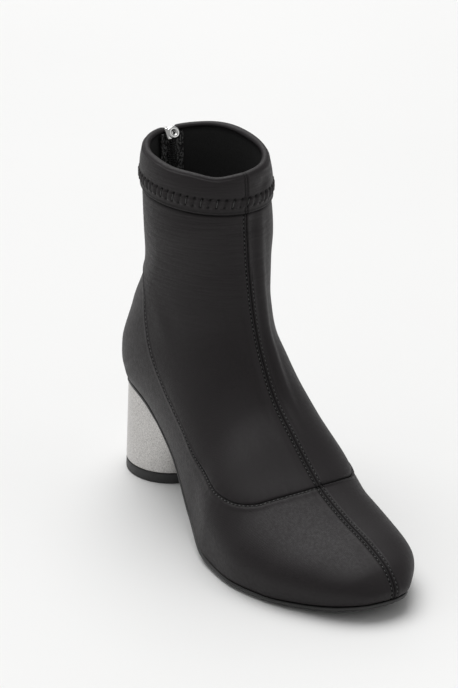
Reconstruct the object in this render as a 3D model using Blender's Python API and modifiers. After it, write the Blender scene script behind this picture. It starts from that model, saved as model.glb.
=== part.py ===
"""Block heel boot for the right foot: fabric upper with a back zip, thin sole and oval heel.

X points to the toe, Y to the wearer's left (the inner side of the foot) and Z up.
The origin lies on the floor under the middle of the heel.  Sizes are in millimetres.
"""
from math import cos, pi, radians, sin

import bmesh
import bpy
import numpy as np

MM = 0.001

# Fits and thicknesses
GAP = 0.3
WALL = 1.8
SHAFT_STEP = 0.8
HEM_STEP = 1.2
LEDGE = 0.014
RIM_RISE_IN = 2.6
RIM_DIP_OUT = 1.4
SOLE_AT_BALL = 3.2
SOLE_AT_SEAT = 1.6
SOLE_THIN_X = 30.0
SOLE_FULL_X = 115.0
SOLE_EDGE = 0.6
SOLE_TREAD_INSET = 2.6
INSOLE_THICK = 2.5
INSOLE_ROOM = 1.2

# Heel: half axes along X and Y at the floor and at the seat
HEEL_FLOOR = (25.8, 24.0)
HEEL_SEAT = (24.4, 20.8)
HEEL_SEAT_SHIFT = -0.9
TOP_PIECE = 6.0
TOP_PIECE_ROUND = 0.6

# Zip at the back of the shaft
SLIT_HALF = 4.0
SLIT_START = 14.21
SLIT_OPENS = 0.08
BACK_REACH = 16.0
TAPE_HALF = 7.0
TAPE_THICK = 0.8
TAPE_DEPTH = 3.2
TAPE_BOTTOM = 131.0
TAPE_TOP = 199.0
CHAIN_HALF = 2.8
CHAIN_FRONT = -0.3
CHAIN_BOTTOM = 134.0
SLIDER_SIZE = (5.5, 7.0, 11.0)
SLIDER_BOTTOM = 189.5
SLIDER_PROUD = 3.8
BAIL_RADIUS = 2.9
BAIL_WIRE = 0.7
RING_WIRE = 0.75
RING_HALF = 3.4
RING_REACH = 10.5
RING_CORNER = 2.4
RING_DROOP = radians(60)

# Cord through the pull ring, with a bell on each end
CORD_RADIUS = 1.05
CORD_ARCH = 4.2
CORD_START = 0.55
CORD_STEP = 4.5
BELL_LENGTH = 11.0

# Mesh density
COLUMNS = 22
FOXING_LEVELS = 10
SHAFT_LEVELS = 14
HEM_LEVELS = 4
SOLE_ROWS = 44
HEEL_SEGMENTS = 40

# Sections of the last, from the toe tip to the collar.  Each is a plane from the ridge (the middle
# of the front) down to its edge: the feather line as far as HEEL_BACK, then the back of the shaft.
# Half widths are given at the edge and at the widest place, on the outer and the inner side; that
# place is a share of the way up from the edge.  A power of 2 rounds a section like an oval behind or
# in front of its widest place; a lower power makes it narrower there, a higher one blunter.
SECTION_COLUMNS = (
    "ridge_x", "ridge_z", "ridge_y", "edge_x", "edge_z", "edge_y", "edge_out", "edge_in",
    "wide_out", "wide_in", "wide_at", "back_power", "front_power",
)
SECTIONS = np.array([
    (211.6, 10.0, 3.8, 211.6, 10.0, 3.8, 0.0, 0.0, 0.0, 0.0, 0.30, 2.0, 2.0),
    (212.8, 14.8, 3.9, 209.0, 9.2, 3.4, 11.4, 8.8, 12.2, 9.4, 0.30, 2.0, 2.0),
    (206.0, 24.0, 4.1, 200.2, 7.2, 2.9, 23.0, 18.0, 24.8, 19.8, 0.30, 2.0, 2.0),
    (190.0, 31.2, 3.9, 183.0, 4.6, 2.4, 35.0, 28.0, 37.0, 32.0, 0.30, 2.0, 2.0),
    (169.0, 37.2, 3.4, 162.0, 3.5, 1.8, 45.4, 34.0, 47.0, 37.6, 0.30, 2.0, 2.0),
    (146.4, 46.4, 3.0, 138.0, 3.5, 1.5, 50.4, 37.0, 51.8, 39.8, 0.30, 2.0, 2.0),
    (122.0, 64.2, 3.0, 114.0, 4.8, 1.0, 48.4, 36.0, 49.4, 41.2, 0.32, 2.0, 2.0),
    (104.0, 79.6, 3.0, 84.0, 15.0, 0.5, 38.5, 27.5, 40.5, 39.4, 0.38, 2.0, 1.9),
    (93.0, 96.4, 3.0, 50.0, 35.6, 0.2, 28.5, 22.5, 35.4, 35.8, 0.46, 2.0, 1.7),
    (86.5, 110.6, 3.0, 15.0, 50.5, 0.0, 22.8, 22.0, 33.8, 33.5, 0.49, 2.1, 1.7),
    (83.0, 121.8, 3.0, -14.0, 54.4, 0.0, 17.5, 17.5, 33.6, 33.3, 0.50, 2.1, 1.8),
    (81.0, 130.5, 3.0, -25.4, 54.6, 0.0, 0.0, 0.0, 33.2, 33.2, 0.51, 2.1, 1.9),
    (79.2, 138.5, 3.2, -28.8, 70.0, 0.2, 0.0, 0.0, 32.0, 33.0, 0.52, 2.0, 2.0),
    (77.0, 150.0, 3.5, -24.8, 95.0, 0.8, 0.0, 0.0, 30.4, 33.4, 0.54, 1.6, 2.0),
    (75.4, 161.0, 3.9, -13.2, 121.5, 1.8, 0.0, 0.0, 30.6, 33.2, 0.56, 1.45, 2.0),
    (74.2, 169.0, 4.2, -5.2, 152.0, 3.4, 0.0, 0.0, 32.2, 32.4, 0.54, 1.75, 2.0),
    (73.8, 176.0, 4.4, -4.6, 180.8, 4.4, 0.0, 0.0, 31.8, 31.8, 0.50, 1.9, 2.0),
    (73.4, 197.0, 4.5, -4.8, 202.0, 4.5, 0.0, 0.0, 30.2, 30.0, 0.50, 2.0, 2.0),
])
HEEL_BACK = 11
SEAM_RIDGE = 5
SEAM_BACK = 14.18
HEM = 16
COLLAR = 17

# Seam between the foxing and the shaft, seen from the side, from the back of the shaft to the ridge
SEAM_COLUMNS = ("x", "z")
SEAM = np.array([
    (4.0, 128.4),
    (15.0, 127.6),
    (22.4, 122.5),
    (27.2, 111.0),
    (34.5, 94.4),
    (49.4, 76.5),
    (70.4, 61.3),
    (89.0, 50.5),
    (106.0, 45.8),
    (119.6, 42.3),
    (130.5, 41.2),
    (138.0, 42.0),
    (143.0, 44.6),
])

# Hanging strands, as steps out of the arch over the ring: along X, along Y, and up from the ring bar
OUTER_STRAND = [(-4.2, 0.6, -3.0), (-5.0, 1.2, -11.0), (-5.8, 2.0, -20.0), (-5.8, 2.7, -29.0),
                (-5.4, 3.0, -36.0)]
INNER_STRAND = [(4.2, 0.2, -3.0), (3.4, 0.0, -13.0), (1.6, -0.4, -25.0), (0.0, -0.8, -36.0),
                (-0.8, -1.0, -46.0)]


def smooth_rows(table, place):
    """Values between the rows of a table, without overshoot, at fractional row numbers."""
    table = np.asarray(table, float)
    place = np.asarray(place, float)
    step = np.diff(table, axis=0)
    slope = np.zeros_like(table)
    product = step[:-1] * step[1:]
    rising = product > 0
    total = np.where(rising, step[:-1] + step[1:], 1.0)
    slope[1:-1] = np.where(rising, 2 * product / total, 0.0)
    slope[0] = 1.5 * step[0] - 0.5 * slope[1]
    slope[-1] = 1.5 * step[-1] - 0.5 * slope[-2]
    row = np.clip(np.floor(place).astype(int), 0, len(table) - 2)
    t = (place - row)[..., None]
    start, end = table[row], table[row + 1]
    curve = (2 * t**3 - 3 * t**2 + 1) * start + (3 * t**2 - 2 * t**3) * end
    return curve + (t**3 - 2 * t**2 + t) * slope[row] + (t**3 - t**2) * slope[row + 1]


def section(place):
    """Columns of the last at fractional row numbers."""
    values = smooth_rows(SECTIONS, place)
    return {name: values[..., i] for i, name in enumerate(SECTION_COLUMNS)}


def ridge(place):
    row = section(place)
    return np.stack([row["ridge_x"], row["ridge_z"]], axis=-1)


def edge(place):
    row = section(place)
    return np.stack([row["edge_x"], row["edge_z"]], axis=-1)


def side_of_section(place, points):
    """Positive where a point of the side view lies on the collar side of a section."""
    foot = edge(place)
    line = ridge(place) - foot
    offset = points - foot
    return line[..., 0] * offset[..., 1] - line[..., 1] * offset[..., 0]


def find_section(points):
    """Row number of the section that passes through each point of the side view."""
    low = np.zeros(points.shape[:-1])
    high = np.full(points.shape[:-1], float(COLLAR))
    for _ in range(40):
        middle = (low + high) / 2
        above = side_of_section(middle, points) > 0
        low = np.where(above, middle, low)
        high = np.where(above, high, middle)
    return (low + high) / 2


def swell(along, at_edge, widest, row):
    """Half width of a section: from its edge out to its widest place, then in to the ridge."""
    back, front = row["back_power"], row["front_power"]
    share = np.clip(at_edge / np.maximum(widest, 0.01), 0, 1)
    lower = (1 - share**back)**(1 / back) * np.clip(1 - along / row["wide_at"], 0, 1)
    upper = np.clip((along - row["wide_at"]) / (1 - row["wide_at"]), 0, 1)
    return widest * (1 - lower**back)**(1 / back) * (1 - upper**front)**(1 / front)


def last_surface(points):
    """Outer and inner side of the last over points (x, z) of the side view."""
    row = section(find_section(points))
    foot = np.stack([row["edge_x"], row["edge_z"]], axis=-1)
    line = np.stack([row["ridge_x"], row["ridge_z"]], axis=-1) - foot
    length = np.maximum((line**2).sum(axis=-1), 1e-6)
    along = np.clip(((points - foot) * line).sum(axis=-1) / length, 0, 1)
    middle = row["edge_y"] * (1 - along) + row["ridge_y"] * along
    outer = middle - swell(along, row["edge_out"], row["wide_out"], row)
    inner = middle + swell(along, row["edge_in"], row["wide_in"], row)
    x, z = points[..., 0], points[..., 1]
    return np.stack([x, outer, z], axis=-1), np.stack([x, inner, z], axis=-1)


def ease(share):
    """Share of the way across, with short steps at both ends."""
    return (1 - np.cos(pi * share)) / 2


def patch(bottom, top, left, right, across, up):
    """Grid of a four-sided patch in the side view, between its boundary curves."""
    a = ease(across)[None, :, None]
    q = up[:, None, None]
    rails = (1 - q) * bottom(across)[None] + q * top(across)[None]
    posts = (1 - a) * left(up)[:, None] + a * right(up)[:, None]
    ends = np.array([0.0, 1.0])
    low, high = bottom(ends), top(ends)
    corners = (1 - q) * ((1 - a) * low[0] + a * low[1]) + q * ((1 - a) * high[0] + a * high[1])
    return rails + posts - corners


def feather_line(across):
    return edge(HEEL_BACK * (1 - across))


def seam_line(across):
    line = np.vstack([edge(SEAM_BACK), SEAM, ridge(SEAM_RIDGE)])
    return smooth_rows(line, across * (len(line) - 1))


def slit_line(place):
    """Side of the zip's slit in the side view: where a section is as wide as the slit."""
    row = section(place)
    half = SLIT_HALF * np.clip((place - SLIT_START) / SLIT_OPENS, 0, 1)
    power = row["back_power"]
    lower = (1 - (half / row["wide_out"])**power)**(1 / power)
    share = (row["wide_at"] * (1 - lower))[..., None]
    return edge(place) * (1 - share) + ridge(place) * share


def straight_across(place):
    """Straight line over a section of the shaft, with points closer together at its ends."""
    def line(across):
        share = ease(across)[:, None]
        return slit_line(np.float64(place)) * (1 - share) + ridge(place) * share
    return line


def between(curve, first, last):
    """Stretch of a curve between two sections, with even steps along its length."""
    places = np.linspace(first, last, 80)
    lengths = np.linalg.norm(np.diff(curve(places), axis=0), axis=1)
    run = np.concatenate([[0.0], np.cumsum(lengths)]) / lengths.sum()
    return lambda up: curve(np.interp(up, run, places))


def last_bands():
    """Foxing, shaft and hem as (grid in the side view, height of the step in the wall)."""
    across = np.linspace(0, 1, COLUMNS + 1)
    hem_line, collar_line = straight_across(HEM), straight_across(COLLAR)
    foxing = patch(
        feather_line, seam_line, between(edge, HEEL_BACK, SEAM_BACK), between(ridge, 0, SEAM_RIDGE),
        across, np.linspace(0, 1, FOXING_LEVELS + 1))
    shaft = patch(
        seam_line, hem_line, between(slit_line, SEAM_BACK, HEM), between(ridge, SEAM_RIDGE, HEM),
        across, np.linspace(LEDGE, 1, SHAFT_LEVELS + 1))
    hem = patch(
        hem_line, collar_line, between(slit_line, HEM, COLLAR), between(ridge, HEM, COLLAR),
        across, np.linspace(LEDGE * 4, 1, HEM_LEVELS + 1))
    return [(foxing, 0.0), (shaft, SHAFT_STEP), (hem, SHAFT_STEP + HEM_STEP)]


def vertex_normals(points, quads):
    """Unit normals of a sheet of quads."""
    diagonals = np.cross(points[quads[:, 2]] - points[quads[:, 0]], points[quads[:, 3]] - points[quads[:, 1]])
    normals = np.zeros_like(points)
    for corner in range(4):
        np.add.at(normals, quads[:, corner], diagonals)
    return normals / np.linalg.norm(normals, axis=1)[:, None]


def material(name, colour, roughness, metallic=0.0):
    finish = bpy.data.materials.new(name)
    finish.use_nodes = True
    shader = finish.node_tree.nodes["Principled BSDF"]
    shader.inputs["Base Color"].default_value = (*colour, 1.0)
    shader.inputs["Roughness"].default_value = roughness
    shader.inputs["Metallic"].default_value = metallic
    return finish


def add_object(name, data, finish, collection, place=(0, 0, 0)):
    piece = bpy.data.objects.new(name, data)
    piece.location = [value * MM for value in place]
    data.materials.append(finish)
    collection.objects.link(piece)
    return piece


def mesh_from(name, points, faces, smooth=True):
    """Closed mesh from points in millimetres, with its faces turned outwards."""
    mesh = bpy.data.meshes.new(name)
    mesh.from_pydata([tuple(point) for point in np.asarray(points) * MM], [], faces)
    shape = bmesh.new()
    shape.from_mesh(mesh)
    bmesh.ops.recalc_face_normals(shape, faces=shape.faces)
    shape.to_mesh(mesh)
    shape.free()
    if smooth:
        mesh.shade_smooth()
        mesh.set_sharp_from_angle(angle=radians(40))
    return mesh


def upper_mesh():
    """Wall of the upper: both sides of the last, joined at the ridge and at the back below the zip."""
    rings, steps = [], []
    for grid, step in last_bands():
        outer, inner = last_surface(grid)
        for level in range(len(grid)):
            rings.append(np.vstack([outer[level], inner[level][-2::-1]]))
            steps.append(step)
    rings = np.array(rings)
    levels, columns = rings.shape[:2]
    rise = np.linspace(0, 1, HEM_LEVELS + 1)[:, None]
    bump = np.sin(pi * np.linspace(0, 1, COLUMNS + 1))
    rings[-HEM_LEVELS - 1:, :COLUMNS + 1, 2] -= RIM_DIP_OUT * rise * bump**2
    rings[-HEM_LEVELS - 1:, COLUMNS:, 2] += RIM_RISE_IN * rise * bump
    closed = FOXING_LEVELS + 1
    number = np.arange(levels * columns).reshape(levels, columns)
    number[:closed + 1, -1] = number[:closed + 1, 0]

    quads = np.array([
        (number[i, j], number[i, j + 1], number[i + 1, j + 1], number[i + 1, j])
        for i in range(levels - 1) for j in range(columns - 1)])
    used = np.unique(quads)
    renumber = np.full(levels * columns, -1)
    renumber[used] = np.arange(len(used))
    number, quads = renumber[number], renumber[quads]
    sheet = rings.reshape(-1, 3)[used]
    raised = np.repeat(steps, columns)[used]
    normals = vertex_normals(sheet, quads)
    outside = sheet + normals * raised[:, None]
    inside = sheet - normals * WALL
    inside[number[0], 2] = feather_height(inside[number[0], 0])

    count = len(used)
    faces = [tuple(int(v) for v in quad) for quad in quads]
    faces += [tuple(int(v) + count for v in quad[::-1]) for quad in quads]
    slit = range(closed, levels)
    rims = [number[0], number[-1], number[slit, 0], number[slit, -1]]
    for rim in rims:
        faces += [(int(a), int(b), int(b) + count, int(a) + count) for a, b in zip(rim[:-1], rim[1:])]
    return mesh_from("upper", np.vstack([outside, inside]), faces)


def sole_thickness(x):
    share = np.clip((x - SOLE_THIN_X) / (SOLE_FULL_X - SOLE_THIN_X), 0, 1)
    return SOLE_AT_SEAT + (SOLE_AT_BALL - SOLE_AT_SEAT) * share**2 * (3 - 2 * share)


def feather_height(x):
    """Height of the upper's lower edge at a distance X from the heel."""
    line = edge(np.linspace(0, HEEL_BACK, COLUMNS + 1))
    return np.interp(x, line[::-1, 0], line[::-1, 1])


def sole_loop(margin):
    """Outline of the bottom of the last, moved outwards by a margin: heel, outer side, toe, inner side."""
    row = section(np.linspace(HEEL_BACK, 0, SOLE_ROWS + 1))
    outer = np.stack([row["edge_x"], row["edge_y"] - row["edge_out"]], axis=-1)
    inner = np.stack([row["edge_x"], row["edge_y"] + row["edge_in"]], axis=-1)
    loop = np.vstack([outer, inner[-2:0:-1]])
    run = np.roll(loop, -1, axis=0) - np.roll(loop, 1, axis=0)
    outwards = np.stack([run[:, 1], -run[:, 0]], axis=-1)
    return loop + margin * outwards / np.linalg.norm(outwards, axis=1)[:, None]


def at_height(loop, height):
    return np.column_stack([loop, np.broadcast_to(height, len(loop))])


def lofted_mesh(name, loops):
    """Solid through closed loops, with its ends closed by strips from side to side."""
    size = len(loops[0])
    half = size // 2
    faces = []
    for level in range(len(loops) - 1):
        low, high = level * size, (level + 1) * size
        for i in range(size):
            j = (i + 1) % size
            faces.append((low + i, low + j, high + j, high + i))
    for first in (0, (len(loops) - 1) * size):
        faces.append((first, first + 1, first + size - 1))
        faces.append((first + half - 1, first + half, first + half + 1))
        for i in range(1, half - 1):
            faces.append((first + i, first + i + 1, first + size - i - 1, first + size - i))
    return mesh_from(name, np.vstack(loops), faces)


def outsole_mesh():
    top, bottom = sole_loop(SOLE_EDGE), sole_loop(-SOLE_TREAD_INSET)
    seat = feather_height(top[:, 0]) - GAP
    middle = seat - 0.6 * sole_thickness(top[:, 0])
    tread = feather_height(bottom[:, 0]) - GAP - sole_thickness(bottom[:, 0])
    return lofted_mesh("outsole", [at_height(bottom, tread), at_height(top, middle), at_height(top, seat)])


def insole_mesh():
    loop = sole_loop(-WALL - INSOLE_ROOM)
    board = feather_height(loop[:, 0])
    return lofted_mesh("insole", [at_height(loop, board), at_height(loop, board + INSOLE_THICK)])


def heel_loop(share, inset=0.0):
    """Oval of the heel at a share of its height, from the back round the outer side."""
    angle = np.arange(HEEL_SEGMENTS) * 2 * pi / HEEL_SEGMENTS
    length, width = np.array(HEEL_FLOOR) * (1 - share) + np.array(HEEL_SEAT) * share - inset
    return np.column_stack([HEEL_SEAT_SHIFT * share - length * np.cos(angle), -width * np.sin(angle)])


def heel_block_mesh():
    bottom, seat = heel_loop(0.12), heel_loop(1.0)
    top = feather_height(seat[:, 0]) - GAP - sole_thickness(seat[:, 0]) - GAP
    return lofted_mesh("heel_block", [at_height(bottom, TOP_PIECE + GAP), at_height(seat, top)])


def top_piece_mesh():
    floor, round_end, top = heel_loop(0.0, TOP_PIECE_ROUND), heel_loop(0.0), heel_loop(0.12)
    return lofted_mesh("heel_top_piece", [
        at_height(floor, 0.0), at_height(round_end, TOP_PIECE_ROUND), at_height(top, TOP_PIECE)])


def back_line(z):
    """Middle of the back of the shaft above the foxing, as X and Y at a height."""
    row = section(np.linspace(SEAM_BACK, COLLAR, 100))
    return np.interp(z, row["edge_z"], row["edge_x"]), np.interp(z, row["edge_z"], row["edge_y"])


def back_surface(height, sides):
    """Points of the back of the shaft at a height, at distances across from its middle."""
    x, y = back_line(height)
    reach = x + BACK_REACH * np.linspace(0, 1, 80)**2
    outer, inner = last_surface(np.column_stack([reach, np.full(80, height)]))
    across = np.concatenate([outer[::-1, 1], inner[1:, 1]])
    return np.column_stack([
        np.interp(y + sides, across, np.concatenate([reach[::-1], reach[1:]])),
        y + sides, np.full(len(sides), height)])


def back_strip_mesh(name, half_width, near, far, bottom, top):
    """Strip along the back of the shaft, curved with it, between two depths from its surface."""
    sides = np.linspace(-half_width, half_width, 7)
    sheet = np.array([back_surface(height, sides) for height in np.linspace(bottom, top, 15)])
    layers = [(sheet + np.array([depth, 0, 0])).reshape(-1, 3) for depth in (near, far)]
    rows, columns = sheet.shape[:2]
    count = rows * columns
    number = np.arange(count).reshape(rows, columns)
    faces = []
    for i in range(rows - 1):
        for j in range(columns - 1):
            quad = [int(v) for v in (number[i, j], number[i, j + 1], number[i + 1, j + 1], number[i + 1, j])]
            faces += [tuple(quad), tuple(v + count for v in quad[::-1])]
    for rim in (number[0], number[-1], number[:, 0], number[:, -1]):
        faces += [(int(a), int(b), int(b) + count, int(a) + count) for a, b in zip(rim[:-1], rim[1:])]
    return mesh_from(name, np.vstack(layers), faces)


def slider_place():
    """Middle of the slider's outer face."""
    height = SLIDER_BOTTOM + SLIDER_SIZE[2] / 2
    x, y = back_line(height)
    return np.array([x - SLIDER_PROUD, y, height])


def pull_axis():
    """Middle of the ring's bar in the bail: the point that the ring swings about."""
    return slider_place() - np.array([GAP + RING_WIRE + 0.1, 0.0, 0.0])


def add_slider(finish, parts, cutters):
    """Slider body with a bail on its outer face."""
    face = slider_place()
    body = bmesh.new()
    bmesh.ops.create_cube(body, size=MM)
    bmesh.ops.scale(body, vec=SLIDER_SIZE, verts=body.verts)
    for corner in body.verts:
        if corner.co.z < 0:
            corner.co.y *= 0.72
    mesh = bpy.data.meshes.new("zip_slider")
    body.to_mesh(mesh)
    body.free()
    slider = add_object("zip_slider", mesh, finish, parts, face + np.array([SLIDER_SIZE[0] / 2, 0.0, 0.0]))
    bevel = slider.modifiers.new("rounded edges", "BEVEL")
    bevel.width = 0.8 * MM
    bevel.segments = 2

    bpy.ops.mesh.primitive_torus_add(
        major_radius=BAIL_RADIUS * MM, minor_radius=BAIL_WIRE * MM, major_segments=20, minor_segments=8,
        location=face * MM, rotation=(pi / 2, 0, 0))
    bail = bpy.context.object
    bail.name = "bail"
    bail.hide_render = True
    bail.display_type = "WIRE"
    for home in list(bail.users_collection):
        home.objects.unlink(bail)
    cutters.objects.link(bail)
    join = slider.modifiers.new("bail", "BOOLEAN")
    join.operation = "UNION"
    join.object = bail


def add_tube(name, points, radius, finish, collection, place, cyclic=False):
    """Round wire or cord along points in millimetres, measured from its place."""
    curve = bpy.data.curves.new(name, "CURVE")
    curve.dimensions = "3D"
    curve.bevel_depth = radius * MM
    curve.bevel_resolution = 2
    curve.use_fill_caps = True
    spline = curve.splines.new("POLY")
    spline.points.add(len(points) - 1)
    for knot, point in zip(spline.points, points):
        knot.co = (*[value * MM for value in point], 1.0)
    spline.use_cyclic_u = cyclic
    return add_object(name, curve, finish, collection, place)


def ring_direction():
    return np.array([-cos(RING_DROOP), 0.0, -sin(RING_DROOP)])


def ring_points():
    """Rounded rectangle of the pull ring, from its bar on the swing axis outwards."""
    corners = [(RING_CORNER, 1, 180), (RING_REACH - RING_CORNER, 1, 90),
               (RING_REACH - RING_CORNER, -1, 0), (RING_CORNER, -1, -90)]
    points = []
    for reach, side, start in corners:
        for step in range(5):
            angle = radians(start - 22.5 * step)
            along = reach + RING_CORNER * cos(angle)
            across = side * (RING_HALF - RING_CORNER) + RING_CORNER * sin(angle)
            points.append(along * ring_direction() + np.array([0.0, across, 0.0]))
    return points


def ring_bar():
    """Middle of the ring's outer bar, over which the cord hangs."""
    return pull_axis() + RING_REACH * ring_direction()


def strand_points(strand, side):
    """Route of one strand: a quarter turn over the ring's outer bar, then the hanging length."""
    arch_top = RING_WIRE + GAP + CORD_RADIUS
    centre = arch_top - CORD_ARCH
    start = CORD_START / CORD_ARCH
    route = []
    for angle in np.linspace(start, pi / 2, 4)[:3]:
        route.append((side * CORD_ARCH * sin(angle), 0.0, centre + CORD_ARCH * cos(angle)))
    route += strand
    route = smooth_rows(np.array(route), np.linspace(0, len(route) - 1, 200))
    run = np.concatenate([[0], np.cumsum(np.linalg.norm(np.diff(route, axis=0), axis=1))])
    stops = np.linspace(0, run[-1], 2 * int(run[-1] / CORD_STEP) + 1)
    return np.column_stack([np.interp(stops, run, route[:, k]) for k in range(3)])


def add_bell(name, finish, collection, place):
    """Turned metal end, hollow underneath, hanging below its place."""
    profile = [
        (0.0, 0.0), (1.5, 0.0), (2.0, -0.5), (2.1, -1.6), (3.1, -BELL_LENGTH + 0.4), (2.9, -BELL_LENGTH),
        (2.4, -BELL_LENGTH), (2.0, -BELL_LENGTH + 3.0), (0.0, -BELL_LENGTH + 3.0)]
    mesh = bpy.data.meshes.new(name)
    lines = [(i, i + 1) for i in range(len(profile) - 1)]
    mesh.from_pydata([(radius * MM, 0, z * MM) for radius, z in profile], lines, [])
    bell = add_object(name, mesh, finish, collection, place)
    turn = bell.modifiers.new("turned", "SCREW")
    turn.steps = turn.render_steps = 16
    turn.use_merge_vertices = True
    turn.merge_threshold = 0.00001
    turn.use_smooth_shade = True


def build():
    for old in list(bpy.data.objects):
        bpy.data.objects.remove(old)
    parts = bpy.data.collections.new("block_heel_boot")
    cutters = bpy.data.collections.new("cutters")
    for collection in (parts, cutters):
        bpy.context.scene.collection.children.link(collection)

    fabric = material("stretch fabric", (0.022, 0.021, 0.022), 0.55)
    board = material("insole board", (0.03, 0.03, 0.03), 0.8)
    rubber = material("black rubber", (0.018, 0.018, 0.018), 0.6)
    silver = material("silver heel cover", (0.62, 0.60, 0.58), 0.38, 0.85)
    tape = material("zip tape", (0.015, 0.015, 0.016), 0.75)
    coil = material("zip coil", (0.02, 0.02, 0.021), 0.35)
    chrome = material("polished metal", (0.78, 0.78, 0.78), 0.12, 1.0)
    cord = material("round cord", (0.02, 0.02, 0.02), 0.7)

    add_object("upper", upper_mesh(), fabric, parts)
    add_object("outsole", outsole_mesh(), rubber, parts)
    add_object("insole", insole_mesh(), board, parts)
    add_object("heel_block", heel_block_mesh(), silver, parts)
    add_object("heel_top_piece", top_piece_mesh(), rubber, parts)

    chain_far = TAPE_DEPTH - GAP
    chain_top = SLIDER_BOTTOM - GAP
    add_object("zip_tape", back_strip_mesh(
        "zip_tape", TAPE_HALF, TAPE_DEPTH, TAPE_DEPTH + TAPE_THICK, TAPE_BOTTOM, TAPE_TOP), tape, parts)
    add_object("zip_chain", back_strip_mesh(
        "zip_chain", CHAIN_HALF, CHAIN_FRONT, chain_far, CHAIN_BOTTOM, chain_top), coil, parts)
    add_slider(chrome, parts, cutters)

    swing = bpy.data.objects.new("pull_swing", None)
    swing.location = [value * MM for value in pull_axis()]
    parts.objects.link(swing)
    hanging = [add_tube("pull_ring", ring_points(), RING_WIRE, chrome, parts, (0, 0, 0), cyclic=True)]
    bar = ring_bar() - pull_axis()
    for side, name, strand in ((-1, "outer", OUTER_STRAND), (1, "inner", INNER_STRAND)):
        points = strand_points(strand, side)
        hanging.append(add_tube("pull_cord_" + name, points, CORD_RADIUS, cord, parts, bar))
        add_bell("cord_end_" + name, chrome, parts, bar + points[-1] - np.array([0, 0, GAP]))
        hanging.append(bpy.data.objects["cord_end_" + name])
    for piece in hanging:
        piece.parent = swing


build()
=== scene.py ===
from math import cos, pi, radians, sin

import bmesh
import bpy
import numpy as np
from mathutils import Matrix, Vector
from mathutils.kdtree import KDTree


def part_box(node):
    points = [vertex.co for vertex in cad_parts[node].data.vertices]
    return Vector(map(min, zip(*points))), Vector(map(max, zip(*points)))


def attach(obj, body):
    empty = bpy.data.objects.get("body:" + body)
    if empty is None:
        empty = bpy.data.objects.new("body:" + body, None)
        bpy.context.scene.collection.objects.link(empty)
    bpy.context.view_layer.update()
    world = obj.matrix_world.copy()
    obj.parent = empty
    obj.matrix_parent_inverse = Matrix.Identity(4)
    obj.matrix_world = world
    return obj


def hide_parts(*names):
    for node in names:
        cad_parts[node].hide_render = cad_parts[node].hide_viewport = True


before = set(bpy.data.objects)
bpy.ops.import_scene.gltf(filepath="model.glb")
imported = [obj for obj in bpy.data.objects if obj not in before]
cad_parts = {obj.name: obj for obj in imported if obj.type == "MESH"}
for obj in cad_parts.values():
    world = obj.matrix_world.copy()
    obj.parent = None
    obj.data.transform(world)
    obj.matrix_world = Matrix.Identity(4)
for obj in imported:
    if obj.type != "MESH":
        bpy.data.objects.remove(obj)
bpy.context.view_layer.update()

MM = 0.001

# Sizes shared with the solids, in millimetres
WALL = 1.8
SHAFT_STEP = 0.8
HEM_STEP = 1.2
RIM_RISE_IN = 2.6
RIM_DIP_OUT = 1.4
GAP = 0.3
SOLE_AT_BALL = 3.2
SOLE_AT_SEAT = 1.6
SOLE_THIN_X = 30.0
SOLE_FULL_X = 115.0
SOLE_EDGE = 0.6
SOLE_TREAD_INSET = 2.6
HEEL_FLOOR = (25.8, 24.0)
HEEL_SEAT = (24.4, 20.8)
HEEL_SEAT_SHIFT = -0.9
TOP_PIECE_SHARE = 0.12
SLIT_HALF = 4.0
SLIT_START = 14.21
SLIT_OPENS = 0.08
TAPE_DEPTH = 3.2
CHAIN_BOTTOM = 134.0
SLIDER_SIZE = (5.5, 7.0, 11.0)
SLIDER_BOTTOM = 189.5
SLIDER_PROUD = 3.8
RING_WIRE = 0.75
RING_HALF = 3.4
RING_REACH = 10.5
RING_CORNER = 2.4
RING_DROOP = radians(60)
CORD_RADIUS = 1.05
CORD_ARCH = 4.2
CORD_START = 0.55
CORD_STEP = 4.5

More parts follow.
